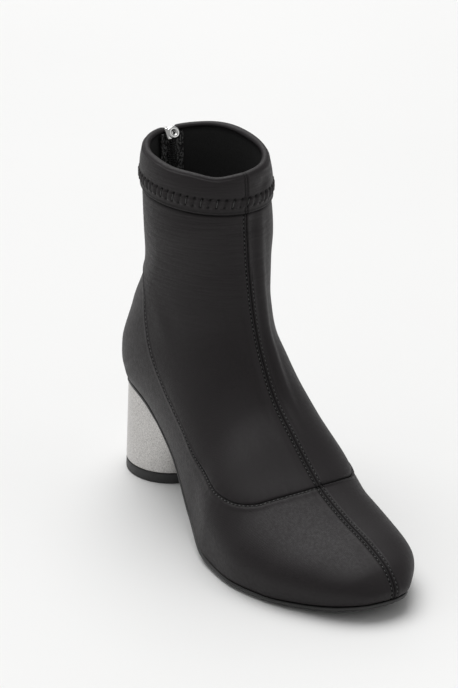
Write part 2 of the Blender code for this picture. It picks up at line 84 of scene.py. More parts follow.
# Sections of the last, from the toe tip to the collar, each a plane from the ridge down to its edge
SECTION_COLUMNS = (
    "ridge_x", "ridge_z", "ridge_y", "edge_x", "edge_z", "edge_y", "edge_out", "edge_in",
    "wide_out", "wide_in", "wide_at", "back_power", "front_power",
)
SECTIONS = np.array([
    (211.6, 10.0, 3.8, 211.6, 10.0, 3.8, 0.0, 0.0, 0.0, 0.0, 0.30, 2.0, 2.0),
    (212.8, 14.8, 3.9, 209.0, 9.2, 3.4, 11.4, 8.8, 12.2, 9.4, 0.30, 2.0, 2.0),
    (206.0, 24.0, 4.1, 200.2, 7.2, 2.9, 23.0, 18.0, 24.8, 19.8, 0.30, 2.0, 2.0),
    (190.0, 31.2, 3.9, 183.0, 4.6, 2.4, 35.0, 28.0, 37.0, 32.0, 0.30, 2.0, 2.0),
    (169.0, 37.2, 3.4, 162.0, 3.5, 1.8, 45.4, 34.0, 47.0, 37.6, 0.30, 2.0, 2.0),
    (146.4, 46.4, 3.0, 138.0, 3.5, 1.5, 50.4, 37.0, 51.8, 39.8, 0.30, 2.0, 2.0),
    (122.0, 64.2, 3.0, 114.0, 4.8, 1.0, 48.4, 36.0, 49.4, 41.2, 0.32, 2.0, 2.0),
    (104.0, 79.6, 3.0, 84.0, 15.0, 0.5, 38.5, 27.5, 40.5, 39.4, 0.38, 2.0, 1.9),
    (93.0, 96.4, 3.0, 50.0, 35.6, 0.2, 28.5, 22.5, 35.4, 35.8, 0.46, 2.0, 1.7),
    (86.5, 110.6, 3.0, 15.0, 50.5, 0.0, 22.8, 22.0, 33.8, 33.5, 0.49, 2.1, 1.7),
    (83.0, 121.8, 3.0, -14.0, 54.4, 0.0, 17.5, 17.5, 33.6, 33.3, 0.50, 2.1, 1.8),
    (81.0, 130.5, 3.0, -25.4, 54.6, 0.0, 0.0, 0.0, 33.2, 33.2, 0.51, 2.1, 1.9),
    (79.2, 138.5, 3.2, -28.8, 70.0, 0.2, 0.0, 0.0, 32.0, 33.0, 0.52, 2.0, 2.0),
    (77.0, 150.0, 3.5, -24.8, 95.0, 0.8, 0.0, 0.0, 30.4, 33.4, 0.54, 1.6, 2.0),
    (75.4, 161.0, 3.9, -13.2, 121.5, 1.8, 0.0, 0.0, 30.6, 33.2, 0.56, 1.45, 2.0),
    (74.2, 169.0, 4.2, -5.2, 152.0, 3.4, 0.0, 0.0, 32.2, 32.4, 0.54, 1.75, 2.0),
    (73.8, 176.0, 4.4, -4.6, 180.8, 4.4, 0.0, 0.0, 31.8, 31.8, 0.50, 1.9, 2.0),
    (73.4, 197.0, 4.5, -4.8, 202.0, 4.5, 0.0, 0.0, 30.2, 30.0, 0.50, 2.0, 2.0),
])
HEEL_BACK = 11
SEAM_RIDGE = 5
SEAM_BACK = 14.18
HEM = 16
COLLAR = 17

# Seam between the foxing and the shaft in the side view (x, z), from the back to the ridge
SEAM = np.array([
    (4.0, 128.4), (15.0, 127.6), (22.4, 122.5), (27.2, 111.0), (34.5, 94.4), (49.4, 76.5), (70.4, 61.3),
    (89.0, 50.5), (106.0, 45.8), (119.6, 42.3), (130.5, 41.2), (138.0, 42.0), (143.0, 44.6),
])

# Share of the way from the slit to the ridge at which the shaft's columns meet the seam's points
SHAFT_SEAM_AT = np.array([0, .20, .33, .40, .45, .50, .57, .65, .72, .79, .85, .90, .94, .97, 1])

# Hanging strands from the ring bar, as steps along X, Y and Z
OUTER_STRAND = [(-4.2, 0.6, -3.0), (-5.0, 1.2, -11.0), (-5.8, 2.0, -20.0), (-5.8, 2.7, -29.0),
                (-5.4, 3.0, -36.0)]
INNER_STRAND = [(4.2, 0.2, -3.0), (3.4, 0.0, -13.0), (1.6, -0.4, -25.0), (0.0, -0.8, -36.0),
                (-0.8, -1.0, -46.0)]

# Fine mesh of the upper: distances of its columns from the centre seam and from the edges at the back, rows
# as shares of the way up, and places across the side view
BY_SEAM = np.array([0, .25, .5, .75, 1.0, 1.2, 1.45, 1.7, 1.95, 2.2, 2.6, 3.2, 4.0, 5.0])
BY_EDGE = np.array([3.0, 2.0, 1.3, .8, .4, 0])
FOXING_UP = np.concatenate([[0, .006, .013, .022, .034, .05], np.linspace(.066, .93, 80),
                            [.942, .953, .962, .970, .977, .983, .988, .992, .996, 1.0]])
SHAFT_UP = np.concatenate([[0, .002, .004, .0065, .0095, .013, .018, .025, .034, .045],
                           np.linspace(.056, .975, 90), [.981, .986, .990, .994, 1.0]])
HEM_UP = np.concatenate([[0, .012, .03, .05, .075], np.linspace(.10, .91, 38), [1.0]])
ACROSS = np.linspace(0, 1, 301)
SQUARE_GRID = (61, 121)
SQUARE_ROUNDS = 700
SECTION_HALVINGS = 36
SEAM_ROWS = 50
FAR_FROM_SEAM = 99.0
CLOSED_GAP = 0.05
SAME_POINT = 1e-6
MERGE = 2e-6
FOXING_COLUMNS = 250
SHAFT_COLUMNS = 185
FOXING_LINING_STEP = 8
SHAFT_LINING_STEP = 7
FOXING_WALL = 1.2
SLIT_ROLL = 1.3
SLIT_TUCK = 1.2
LIP_ROWS = 8
LIP_START = 0.12
LIP_TUCK = 0.9
RIM_ROWS = 12
RIM_LEAN = 0.9
RIM_LEAN_FROM = 11.0
RIM_ROLL_IN = 3.3

# Lug of the slider inside the top of the tape: middles and sizes of its ring, plate and neck
LUG_RING = (0.9, 0.3, 199.3)
LUG_RADIUS = 2.4
LUG_WIRE = 1.5
LUG_LEAN = radians(30)
LUG_BLOCKS = [((0.5, -2.0, 198.9), (2.6, 4.6, 7.2)), ((-2.4, -0.8, 200.6), (6.0, 4.4, 2.2))]

# Lower end of the zip's tape: heights, half width and depth behind the back line
TAPE_END = (127.4, 135.0)
TAPE_END_HALF = 4.6
TAPE_END_DEPTH = 2.4

# Coil of the zip
COIL_DEPTH = 1.25
COIL_PITCH = 0.62
COIL_HALF = 1.05
COIL_INSIDE_TOP = 194.0

# Bell ends of the cord: heights under their tops and radii of their rings
BELL_RINGS = [(-0.5, 2.0), (-1.7, 2.1), (-1.9, 1.85), (-2.2, 1.85), (-2.4, 2.2), (-6.0, 2.45), (-9.2, 2.85),
              (-9.4, 2.7), (-9.7, 2.7), (-9.9, 3.05), (-10.7, 3.1), (-11.0, 2.9), (-11.0, 2.45), (-10.0, 2.2),
              (-8.0, 2.0)]

# Sole and heel: overlap that closes their gaps, rows of the sole's outline, margins of its edges with their
# shares of the thickness, from the tread up, where its bevel comes in, and the bevel of the heel
SEATED = 0.04
SEAT_ROWS = 15
SOLE_ROWS = 90
SOLE_EDGES = [(-SOLE_TREAD_INSET - 1.6, 1.0), (-SOLE_TREAD_INSET, 0.985), (-1.2, 0.86), (0.2, 0.66),
              (SOLE_EDGE, 0.5), (SOLE_EDGE, 0.22), (SOLE_EDGE - 0.15, 0.08), (SOLE_EDGE - 0.5, 0.0),
              (-1.5, 0.0)]
SOLE_PLAIN = (24, 42)
HEEL_BEVEL = 0.7

# Sewing; the hem has a thread in every second slot
SEAM_STITCH = 1.45
STITCH_PITCH = 2.3
STITCH_SHARE = 0.58
STITCH_RADIUS = 0.36
STITCH_PROUD = 0.16
FOXING_STITCH = 1.0
HEM_STITCH_LOW = 3.2
HEM_STITCH_HIGH = 7.4
HEM_STITCH_LEAN = 0.7
HEM_STITCH_RADIUS = 0.28
HEM_STITCH_PROUD = 0.02
ANKLE = 140.0
COLLAR_ABOVE = 210.0
HEM_PITCH = 4.0
HEM_THREAD_PITCH = 2 * HEM_PITCH
CLEAN_EDGE_END = 100.0

# Relief of the seams, folds and rim, and painted shade of the seams and under the hem: rows of height, place
# and width of a bump
SEAM_PILLOW = [(0.34, 0.9, 0.42)]
SEAM_GROOVE = [(-0.8, 0.0, 0.36)]
SEAM_STITCHED = [(-0.46, SEAM_STITCH, 0.42), (0.16, 2.8, 0.7)]
GROOVE_PAINTED_SHADE = [(0.85, 0.0, 0.34)]
STITCH_HOLE_PAINTED_SHADE = [(0.95, SEAM_STITCH, 0.42)]
CLEAN_EDGE = [(0.7, 0.75, 0.55)]
SEWN_EDGE = [(0.24, 2.4, 1.3), (-0.22, FOXING_STITCH, 0.42)]
INNER_FOLDS = [(0.80, 9.6, 3.4), (-0.95, 4.2, 2.2)]
OUTER_FOLDS = [(0.95, -5.6, 2.6), (-0.35, -12, 4)]
FOLDS_INSTEP = [(1.0, 90, 32)]
HEM_SEAM = 0.6
HEM_GROOVE = [(-1.3, 0.5, 1.0)]
HEM_PAINTED_SHADOW = [(1.0, 0.6, 1.0)]
HEM_DENT = [(0.5, 5.5, 4.0)]
RIM_DENT = [(1.4, 11.5, 4.5)]
RIM_SAG = [(1.0, -57, 12), (-1.8, -16, 9.5), (1.6, 76, 17)]

# Where things come in or go out: heights, but distances along the foot for the vamp and the counter's back
SEWN_FADE = (132, 150)
FOLDS_START = (60, 88)
FOLDS_END = (166, 178)
STREAK_FADE = (98.0, 140.0)
VAMP = (92, 118)
COUNTER_BACK = (2, 14)
COUNTER_TOP = (68, 84)
COUNTER_ROUNDS = 60

# Camera, in millimetres, and lamps, in metres: place, size and power of each area lamp
CAMERA_AT = (1001.04, -601.75, 566.23)
CAMERA_TURN = radians(57.28)
CAMERA_FALL = radians(22.8)
LENS = 117.4
SENSOR = 36.0
CLIP_END = 100.0
FLOOR_RADIUS = 40.0
LIGHT_AIM = (0.07, 0.0, 0.05)
WORLD_STRENGTH = 0.34
OVERHEAD = ((-0.65, 0.05, 2.00), 2.35)
OVERHEAD_ANGLE = radians(55)
LAMPS = [
    ("behind", (-1.50, 1.00, 0.95), 0.9, 1.5),
    ("left", (-0.90, -1.60, 1.00), 1.2, 1.2),
    ("right", (1.60, 1.30, 1.00), 1.2, 2.2),
]

# Fabric of the upper: painted shade and dullness of its seams, and its ribs
SEAM_PAINTED_SHADE = (0.0012, 0.0012, 0.0012)
SEAM_DULL = 0.35
RIB_PERIOD = 0.62
RIB_SLANT = radians(58)

# Other materials: colour, roughness, metal; scale, stretch and detail of a noise; stops of the colour and of
# the roughness that follow it; strength and height of its relief
EVEN = (1, 1, 1)
FINISHES = {
    "lining": ((0.012, 0.0118, 0.012), 0.8, 0.0, (1500.0, EVEN, 2.0),
               [(0.3, 0.022), (0.7, 0.036)], None, (0.12, 0.0003)),
    "sewing thread": ((0.05, 0.049, 0.049), 0.40, 0.0, (2600.0, EVEN, 1.0),
                      [(0.3, 0.032), (0.7, 0.070)], None, (0.4, 0.0002)),
    "black rubber": ((0.014, 0.014, 0.014), 0.5, 0.0, (900.0,),
                     None, [(0.3, 0.42), (0.7, 0.62)], (0.15, 0.0003)),
    "silver heel cover": ((0.60, 0.585, 0.57), 0.34, 1.0, (1500.0, EVEN, 2.0),
                          [(0.32, (0.40, 0.39, 0.38)), (0.68, (0.66, 0.645, 0.63))],
                          [(0.3, 0.26), (0.7, 0.46)], (0.25, 0.0003)),
    "polished metal": ((0.80, 0.80, 0.79), 0.12, 1.0, (500.0,),
                       None, [(0.3, 0.07), (0.75, 0.22)], (0.04, 0.0003)),
    "zip coil": ((0.018, 0.018, 0.019), 0.28, 0.0, (700.0,),
                 [(0.3, 0.014), (0.7, 0.026)], [(0.3, 0.2), (0.7, 0.38)], None),
    # Zip tape: the pale specks of its colour ramp are painted glints; its own colour is the dark end of the
    # ramp
    "zip tape": ((0.014, 0.014, 0.015), 0.40, 0.0, (900.0, (1, 1.3, 0.8), 1.0),
                 [(0.46, 0.012), (0.64, 0.24)], [(0.4, 0.55), (0.65, 0.28)], (0.8, 0.0008)),
    "round cord": ((0.016, 0.016, 0.016), 0.55, 0.0, (1400.0, (1.0, 1.0, 0.55), 1.0),
                   [(0.3, 0.010), (0.7, 0.028)], None, (0.6, 0.0005)),
    "insole sock": ((0.02, 0.0195, 0.0195), 0.7, 0.0, (900.0,),
                    [(0.3, 0.015), (0.7, 0.026)], None, (0.3, 0.0003)),
    "pale floor": ((0.86, 0.86, 0.855), 0.6, 0.0, (3.0,),
                   [(0.3, (0.855, 0.855, 0.85)), (0.7, (0.865, 0.865, 0.86))], None, None),
}

# Soft creases, one by one: start and end in the side view, side (-1 outer, 1 inner, 0 both), depth and width
CREASE_RIDGE = 0.6
CREASE_FADE = 0.8
CREASE_SIDE = 12.0
CREASES = [
    (-4, 173, 16, 171, 0, 0.07, 1.0),
    (-4, 168, 14, 169.5, 0, 0.09, 1.0),
    (-4, 162, 16, 160, 0, 0.08, 1.0),
    (-4, 155, 12, 156.5, 0, 0.10, 1.1),
    (-4, 148, 14, 150, 0, 0.09, 1.1),
    (-6, 141, 12, 142, 0, 0.10, 1.2),
    (20, 171, 44, 164, -1, 0.06, 1.0),
    (18, 164, 48, 155, -1, 0.07, 1.1),
    (22, 157, 46, 151, -1, 0.05, 1.0),
    (16, 152, 44, 145, -1, 0.07, 1.1),
    (18, 145, 50, 138, -1, 0.06, 1.1),
    (16, 138, 42, 133, -1, 0.07, 1.1),
    (22, 131, 46, 127, -1, 0.06, 1.1),
    (20, 166, 46, 160, 1, 0.06, 1.1),
    (18, 154, 44, 148, 1, 0.07, 1.1),
    (20, 142, 46, 137, 1, 0.06, 1.1),
    (34, 122, 52, 96, -1, -0.35, 4.5),
    (36, 124, 54, 98, 1, -0.30, 4.5),
    (78, 134, 56, 122, -1, 0.30, 5.0),
    (79, 134, 58, 120, 1, 0.35, 5.0),
    (88, 108, 66, 100, 1, 0.30, 5.5),
    (150, 40, 128, 20, 1, 0.35, 7.0),
    (148, 38, 120, 24, -1, 0.25, 8.0),
]


def smooth_rows(table, place):
    """Values between the rows of a table, without overshoot, at fractional row numbers."""
    table = np.asarray(table, float)
    place = np.asarray(place, float)
    step = np.diff(table, axis=0)
    slope = np.zeros_like(table)
    product = step[:-1] * step[1:]
    rising = product > 0
    total = np.where(rising, step[:-1] + step[1:], 1.0)
    slope[1:-1] = np.where(rising, 2 * product / total, 0.0)
    slope[0] = 1.5 * step[0] - 0.5 * slope[1]
    slope[-1] = 1.5 * step[-1] - 0.5 * slope[-2]
    row = np.clip(np.floor(place).astype(int), 0, len(table) - 2)
    t = (place - row)[..., None]
    start, end = table[row], table[row + 1]
    curve = (2 * t**3 - 3 * t**2 + 1) * start + (3 * t**2 - 2 * t**3) * end
    return curve + (t**3 - 2 * t**2 + t) * slope[row] + (t**3 - t**2) * slope[row + 1]


def section(place):
    values = smooth_rows(SECTIONS, place)
    return {name: values[..., i] for i, name in enumerate(SECTION_COLUMNS)}


def ridge(place):
    return smooth_rows(SECTIONS[:, :2], place)


def edge(place):
    return smooth_rows(SECTIONS[:, 3:5], place)


def find_section(points):
    """Row number of the section through each point of the side view."""
    low = np.zeros(points.shape[:-1])
    high = np.full(points.shape[:-1], float(COLLAR))
    for _ in range(SECTION_HALVINGS):
        middle = (low + high) / 2
        foot = edge(middle)
        line = ridge(middle) - foot
        offset = points - foot
        above = line[..., 0] * offset[..., 1] - line[..., 1] * offset[..., 0] > 0
        low = np.where(above, middle, low)
        high = np.where(above, high, middle)
    return (low + high) / 2


def swell(along, at_edge, widest, row):
    back, front = row["back_power"], row["front_power"]
    share = np.clip(at_edge / np.maximum(widest, 0.01), 0, 1)
    lower = (1 - share**back)**(1 / back) * np.clip(1 - along / row["wide_at"], 0, 1)
    upper = np.clip((along - row["wide_at"]) / (1 - row["wide_at"]), 0, 1)
    return widest * (1 - lower**back)**(1 / back) * (1 - upper**front)**(1 / front)


def last_surface(points):
    """Outer and inner side of the last over points (x, z) of the side view."""
    row = section(find_section(points))
    foot = np.stack([row["edge_x"], row["edge_z"]], axis=-1)
    line = np.stack([row["ridge_x"], row["ridge_z"]], axis=-1) - foot
    length = np.maximum((line**2).sum(axis=-1), 1e-6)
    along = np.clip(((points - foot) * line).sum(axis=-1) / length, 0, 1)
    middle = row["edge_y"] * (1 - along) + row["ridge_y"] * along
    outer = middle - swell(along, row["edge_out"], row["wide_out"], row)
    inner = middle + swell(along, row["edge_in"], row["wide_in"], row)
    x, z = points[..., 0], points[..., 1]
    return np.stack([x, outer, z], axis=-1), np.stack([x, inner, z], axis=-1)


def ease(share):
    return (1 - np.cos(pi * share)) / 2


def soft_step(value, low, high):
    share = np.clip((value - low) / (high - low), 0, 1)
    return share**2 * (3 - 2 * share)


def bump(distance, width):
    return np.exp(-(distance / width)**2)


def bumps(value, table):
    return sum(height * bump(value - at, width) for height, at, width in table)


def metres(point):
    return [value * MM for value in point]


def around_run(line):
    """Distance of each point of a line from its start."""
    steps = np.linalg.norm(np.diff(line, axis=0), axis=1)
    return np.concatenate([[0.0], np.cumsum(steps)])


def at_stops(values, run, stops):
    """Points along a line at stops of its run."""
    return np.column_stack([np.interp(stops, run, values[:, k]) for k in range(3)])


def patch(bottom, top, left, right, across, up):
    """Grid of a four-sided patch in the side view, between its boundary curves."""
    a = ease(across)[None, :, None]
    q = up[:, None, None]
    rails = (1 - q) * bottom(across)[None] + q * top(across)[None]
    posts = (1 - a) * left(up)[:, None] + a * right(up)[:, None]
    ends = np.array([0.0, 1.0])
    low, high = bottom(ends), top(ends)
    corners = (1 - q) * ((1 - a) * low[0] + a * low[1]) + q * ((1 - a) * high[0] + a * high[1])
    return rails + posts - corners


def relaxed(grid, rounds):
    """Spread the inner points of a grid so that its lines cross as squarely as its edges allow."""
    grid = grid.copy()
    for _ in range(rounds):
        across = (grid[1:-1, 2:] - grid[1:-1, :-2]) / 2
        up = (grid[2:, 1:-1] - grid[:-2, 1:-1]) / 2
        a = (up**2).sum(-1, keepdims=True)
        b = (across * up).sum(-1, keepdims=True)
        c = (across**2).sum(-1, keepdims=True)
        mixed = (grid[2:, 2:] - grid[2:, :-2] - grid[:-2, 2:] + grid[:-2, :-2]) / 4
        sides = a * (grid[1:-1, 2:] + grid[1:-1, :-2]) + c * (grid[2:, 1:-1] + grid[:-2, 1:-1])
        grid[1:-1, 1:-1] = (sides - 2 * b * mixed) / (2 * (a + c))
    return grid


def square_patch(bottom, top, left, right, across, up):
    """Grid of a patch whose lines cross squarely, with its rows and columns at the given shares."""
    rows, columns = SQUARE_GRID
    grid = patch(bottom, top, left, right, np.linspace(0, 1, columns), np.linspace(0, 1, rows))
    grid = relaxed(grid, SQUARE_ROUNDS)
    grid = smooth_rows(grid.reshape(rows, -1), up * (rows - 1)).reshape(len(up), columns, 2)
    grid = smooth_rows(grid.transpose(1, 0, 2).reshape(columns, -1), across * (columns - 1))
    grid = grid.reshape(len(across), len(up), 2).transpose(1, 0, 2)
    grid[0], grid[-1] = bottom(across), top(across)
    grid[:, 0], grid[:, -1] = left(up), right(up)
    return grid


def feather_line(across):
    return edge(HEEL_BACK * (1 - across))


def seam_line(across):
    line = np.vstack([edge(SEAM_BACK), SEAM, ridge(SEAM_RIDGE)])
    return smooth_rows(line, across * (len(line) - 1))


def shaft_seam_line(across):
    return seam_line(np.interp(across, SHAFT_SEAM_AT, np.linspace(0, 1, len(SHAFT_SEAM_AT))))


def slit_line(place):
    row = section(place)
    half = SLIT_HALF * np.clip((place - SLIT_START) / SLIT_OPENS, 0, 1)
    power = row["back_power"]
    lower = (1 - (half / row["wide_out"])**power)**(1 / power)
    share = (row["wide_at"] * (1 - lower))[..., None]
    return edge(place) * (1 - share) + ridge(place) * share


def straight_across(place):
    def line(across):
        share = ease(across)[:, None]
        return slit_line(np.float64(place)) * (1 - share) + ridge(place) * share
    return line


def between(curve, first, last):
    """Stretch of a curve between two sections, by shares of its length."""
    places = np.linspace(first, last, 80)
    run = around_run(curve(places))
    return lambda up: curve(np.interp(up, run / run[-1], places))


def unit(vectors):
    return vectors / np.maximum(np.linalg.norm(vectors, axis=-1, keepdims=True), 1e-9)


def set_out(side, columns):
    """Points of one side of a level, from the centre seam to the back, by their distance from the seam."""
    run = around_run(side)
    middle = np.linspace(BY_SEAM[-1], run[-1] - BY_EDGE[0], columns + 2)[1:-1]
    stops = np.concatenate([BY_SEAM, middle, run[-1] - BY_EDGE])
    return smooth_rows(side, np.interp(stops, run, np.arange(len(side)))), stops


def level_rings(grid, columns, rim_rise=None):
    """Rings of the wall from the back round the outer side, over the centre seam and back inside."""
    outer, inner = last_surface(grid)
    if rim_rise is not None:
        wave = np.sin(pi * np.linspace(0, 1, grid.shape[1]))
        outer[..., 2] -= RIM_DIP_OUT * rim_rise[:, None] * wave**2
        inner[..., 2] += RIM_RISE_IN * rim_rise[:, None] * wave
    rings, distances = [], []
    for level in range(len(grid)):
        left, left_run = set_out(outer[level][::-1], columns)
        right, right_run = set_out(inner[level][::-1], columns)
        rings.append(np.vstack([left[::-1], right[1:]]))
        distances.append(np.concatenate([-left_run[::-1], right_run[1:]]))
    rings = np.array(rings)
    meets = back_gap(rings) < CLOSED_GAP
    middle = (rings[meets, 0] + rings[meets, -1]) / 2
    rings[meets, 0] = middle
    rings[meets, -1] = middle
    return rings, np.array(distances)


def back_gap(rings):
    """Width of each ring's opening at the back."""
    return np.linalg.norm(rings[:, 0] - rings[:, -1], axis=1)


def outward(rings):
    """Unit normals of a grid of rings, and its unit direction from ring to ring."""
    around = np.gradient(rings, axis=1)
    up = np.gradient(rings, axis=0)
    normals = unit(np.cross(around, up))
    closed = back_gap(rings) < SAME_POINT
    back = unit(normals[:, 0] + normals[:, -1])
    normals[closed, 0] = back[closed]
    normals[closed, -1] = back[closed]
    return normals, unit(up)


def rows_run(rings):
    """Distance of each point from the first ring, up its column."""
    steps = np.linalg.norm(np.diff(rings, axis=0), axis=-1)
    return np.concatenate([np.zeros((1, rings.shape[1])), np.cumsum(steps, axis=0)])


def seam_guide():
    """Points along the foxing seam of both sides, to find how far a place is from it."""
    outer, inner = last_surface(seam_line(np.linspace(0, 1, 2400)))
    points = np.vstack([outer, inner[::-1]])
    tree = KDTree(len(points))
    for i, point in enumerate(points):
        tree.insert(point, i)
    tree.balance()
    side = np.repeat([-1.0, 1.0], len(outer))
    return tree, around_run(points), points[:, 0], side


def by_seam(rings, rows, guide):
    """Distance from the foxing seam, run along it, share across the vamp and share of its clean edge."""
    tree, run, x, side = guide
    away = np.full(rings.shape[:2], FAR_FROM_SEAM)
    nearest = np.zeros(rings.shape[:2], int)
    for i in rows:
        for j, point in enumerate(rings[i]):
            _, nearest[i, j], away[i, j] = tree.find(point)
    across_vamp = soft_step(x[nearest], *VAMP)
    return away, run[nearest], across_vamp, across_vamp * (side[nearest] > 0)


def crease_depth(rings):
    """Soft troughs of the creases, each with a low ridge beside it."""
    depth = np.zeros(rings.shape[:2])
    flat = rings[..., [0, 2]]
    for x0, z0, x1, z1, side, deep, width in CREASES:
        start = np.array([x0, z0], float)
        line = np.array([x1, z1], float) - start
        length = np.linalg.norm(line)
        along = (flat - start) @ line / length**2
        off = np.cross(line / length, flat - start)
        shape = bump(off, width) - CREASE_RIDGE * bump(off - 2 * width, 1.2 * width)
        here = 1.0 if side == 0 else soft_step(rings[..., 1] * side, 0.0, CREASE_SIDE)
        depth -= deep * shape * bump(2 * along - 1, CREASE_FADE) * here
    return depth


def centre_sewn(distance, height):
    """Share of the centre seam's sewing: on both sides low down, on the outer side alone above the ankle."""
    return np.where(distance < 0, 1.0, 1 - soft_step(height, *SEWN_FADE))


def centre_seam(distance, height):
    """Groove of the centre seam with a pillow and a sunk stitch row on each side."""
    away = np.abs(distance)
    sewn = centre_sewn(distance, height)
    pillow = bumps(away, SEAM_PILLOW) * (0.45 + 0.55 * sewn)
    return pillow + bumps(away, SEAM_GROOVE) + bumps(away, SEAM_STITCHED) * sewn


def centre_shade(distance, height):
    """Painted shade in the centre seam's groove and stitch holes."""
    away = np.abs(distance)
    return bumps(away, GROOVE_PAINTED_SHADE) + bumps(away, STITCH_HOLE_PAINTED_SHADE) * centre_sewn(distance, height)


def seam_folds(distance, height):
    """Soft folds beside the centre seam of the shaft and the instep."""
    tall = soft_step(height, *FOLDS_START) * (1 - soft_step(height, *FOLDS_END))
    instep = bumps(height, FOLDS_INSTEP)
    inner = tall * bumps(distance, INNER_FOLDS) * (1 + 0.4 * instep)
    return inner + instep * bumps(distance, OUTER_FOLDS)


def seam_edge(away, along, across_vamp, clean):
    """Groove along the foxing seam, and the small gathers of its sewn part."""
    sewn = 1 - clean
    ripple = np.sin(2 * pi * along / 6.3) + 0.6 * np.sin(2 * pi * along / 4.1 + 1.0)
    gathers = 0.11 * sewn * across_vamp * ripple * np.exp(-away / 4.0)
    return gathers - (0.8 - 0.35 * across_vamp * sewn) * bump(away, 0.40)


def cloth_field(distance, run, shade):
    """Distance from the centre seam, run up the cloth and painted shade of the seams and hem, for each point.
    """
    return np.stack([distance, run, np.clip(shade, 0, 1)], axis=-1)


def eased_counter(rings):
    """Rings with the lower back of the heel eased into its edge."""
    share = soft_step(-rings[..., 0], *COUNTER_BACK) * (1 - soft_step(rings[..., 2], *COUNTER_TOP))
    share[0] = 0.0
    for _ in range(COUNTER_ROUNDS):
        mean = rings.copy()
        mean[1:-1] = (rings[:-2] + rings[2:]) / 2
        mean[:, 1:-1] = (mean[:, 1:-1] + (rings[:, :-2] + rings[:, 2:]) / 2) / 2
        back = (rings[:, 1] + rings[:, -2]) / 2
        mean[:, 0] = (mean[:, 0] + back) / 2
        mean[:, -1] = (mean[:, -1] + back) / 2
        rings = rings + 0.5 * share[..., None] * (mean - rings)
    return rings


def foxing_rings(guide):
    """Outer rings of the foxing, with its seam edge, feather edge and centre seam shaped."""
    grid = square_patch(feather_line, seam_line, between(edge, HEEL_BACK, SEAM_BACK),
                        between(ridge, 0, SEAM_RIDGE), ACROSS, FOXING_UP)
    rings, distance = level_rings(grid, FOXING_COLUMNS)
    rings = eased_counter(rings)
    normals, _ = outward(rings)
    run = rows_run(rings)
    away, along, across_vamp, clean = by_seam(rings, range(len(rings) - SEAM_ROWS, len(rings)), guide)
    sewn = 1 - clean
    height = centre_seam(distance, rings[..., 2]) + seam_edge(away, along, across_vamp, clean)
    height += clean * bumps(away, CLEAN_EDGE) + sewn * bumps(away, SEWN_EDGE)
    height += crease_depth(rings) - 0.5 * bump(run, 0.7)
    # Painted shade in the foxing seam's groove and stitch holes, in the centre seam, and along the feather
    # edge where the foxing meets the sole
    shade = centre_shade(distance, rings[..., 2]) + (0.9 - 0.6 * clean) * bump(away, 0.35)
    shade += 0.8 * bump(run, 0.4) + 0.9 * sewn * bump(away - FOXING_STITCH, 0.42)
    return rings, normals, height, away, cloth_field(distance, run, shade)


def shaft_band(guide):
    """Shaft from the foxing seam up to the hem, as a band: rings, normals, relief out and up, upward
    directions, distance from the centre seam, run and painted shade."""
    grid = square_patch(shaft_seam_line, straight_across(HEM), between(slit_line, SEAM_BACK, HEM),
                        between(ridge, SEAM_RIDGE, HEM), ACROSS, SHAFT_UP)
    rings, distance = level_rings(grid, SHAFT_COLUMNS)
    normals, rise = outward(rings)
    run = rows_run(rings)
    away, along, across_vamp, clean = by_seam(rings, range(SEAM_ROWS), guide)
    turn = np.clip(away / (0.8 + 7.0 * across_vamp), 0, 1)
    height = SHAFT_STEP * np.sqrt(np.clip(1 - (1 - turn)**2, 0, 1))
    height += seam_edge(away, along, across_vamp, clean)
    height += 0.22 * (1 - across_vamp) * bump(away - 0.9, 0.55) - 0.45 * clean * bump(away - 0.5, 0.8)
    height += centre_seam(distance, rings[..., 2]) + crease_depth(rings)
    height += seam_folds(distance, rings[..., 2]) + bumps(run[-1] - run, HEM_GROOVE)
    # Painted shade in the seam grooves and stitch holes, and painted shadow on the shaft just under the hem's
    # lip
    shade = centre_shade(distance, rings[..., 2]) + 0.9 * bump(away, 0.35 + 0.5 * clean)
    shade += bumps(run[-1] - run, HEM_PAINTED_SHADOW)
    return rings, normals, height, np.zeros_like(height), rise, distance, run, shade


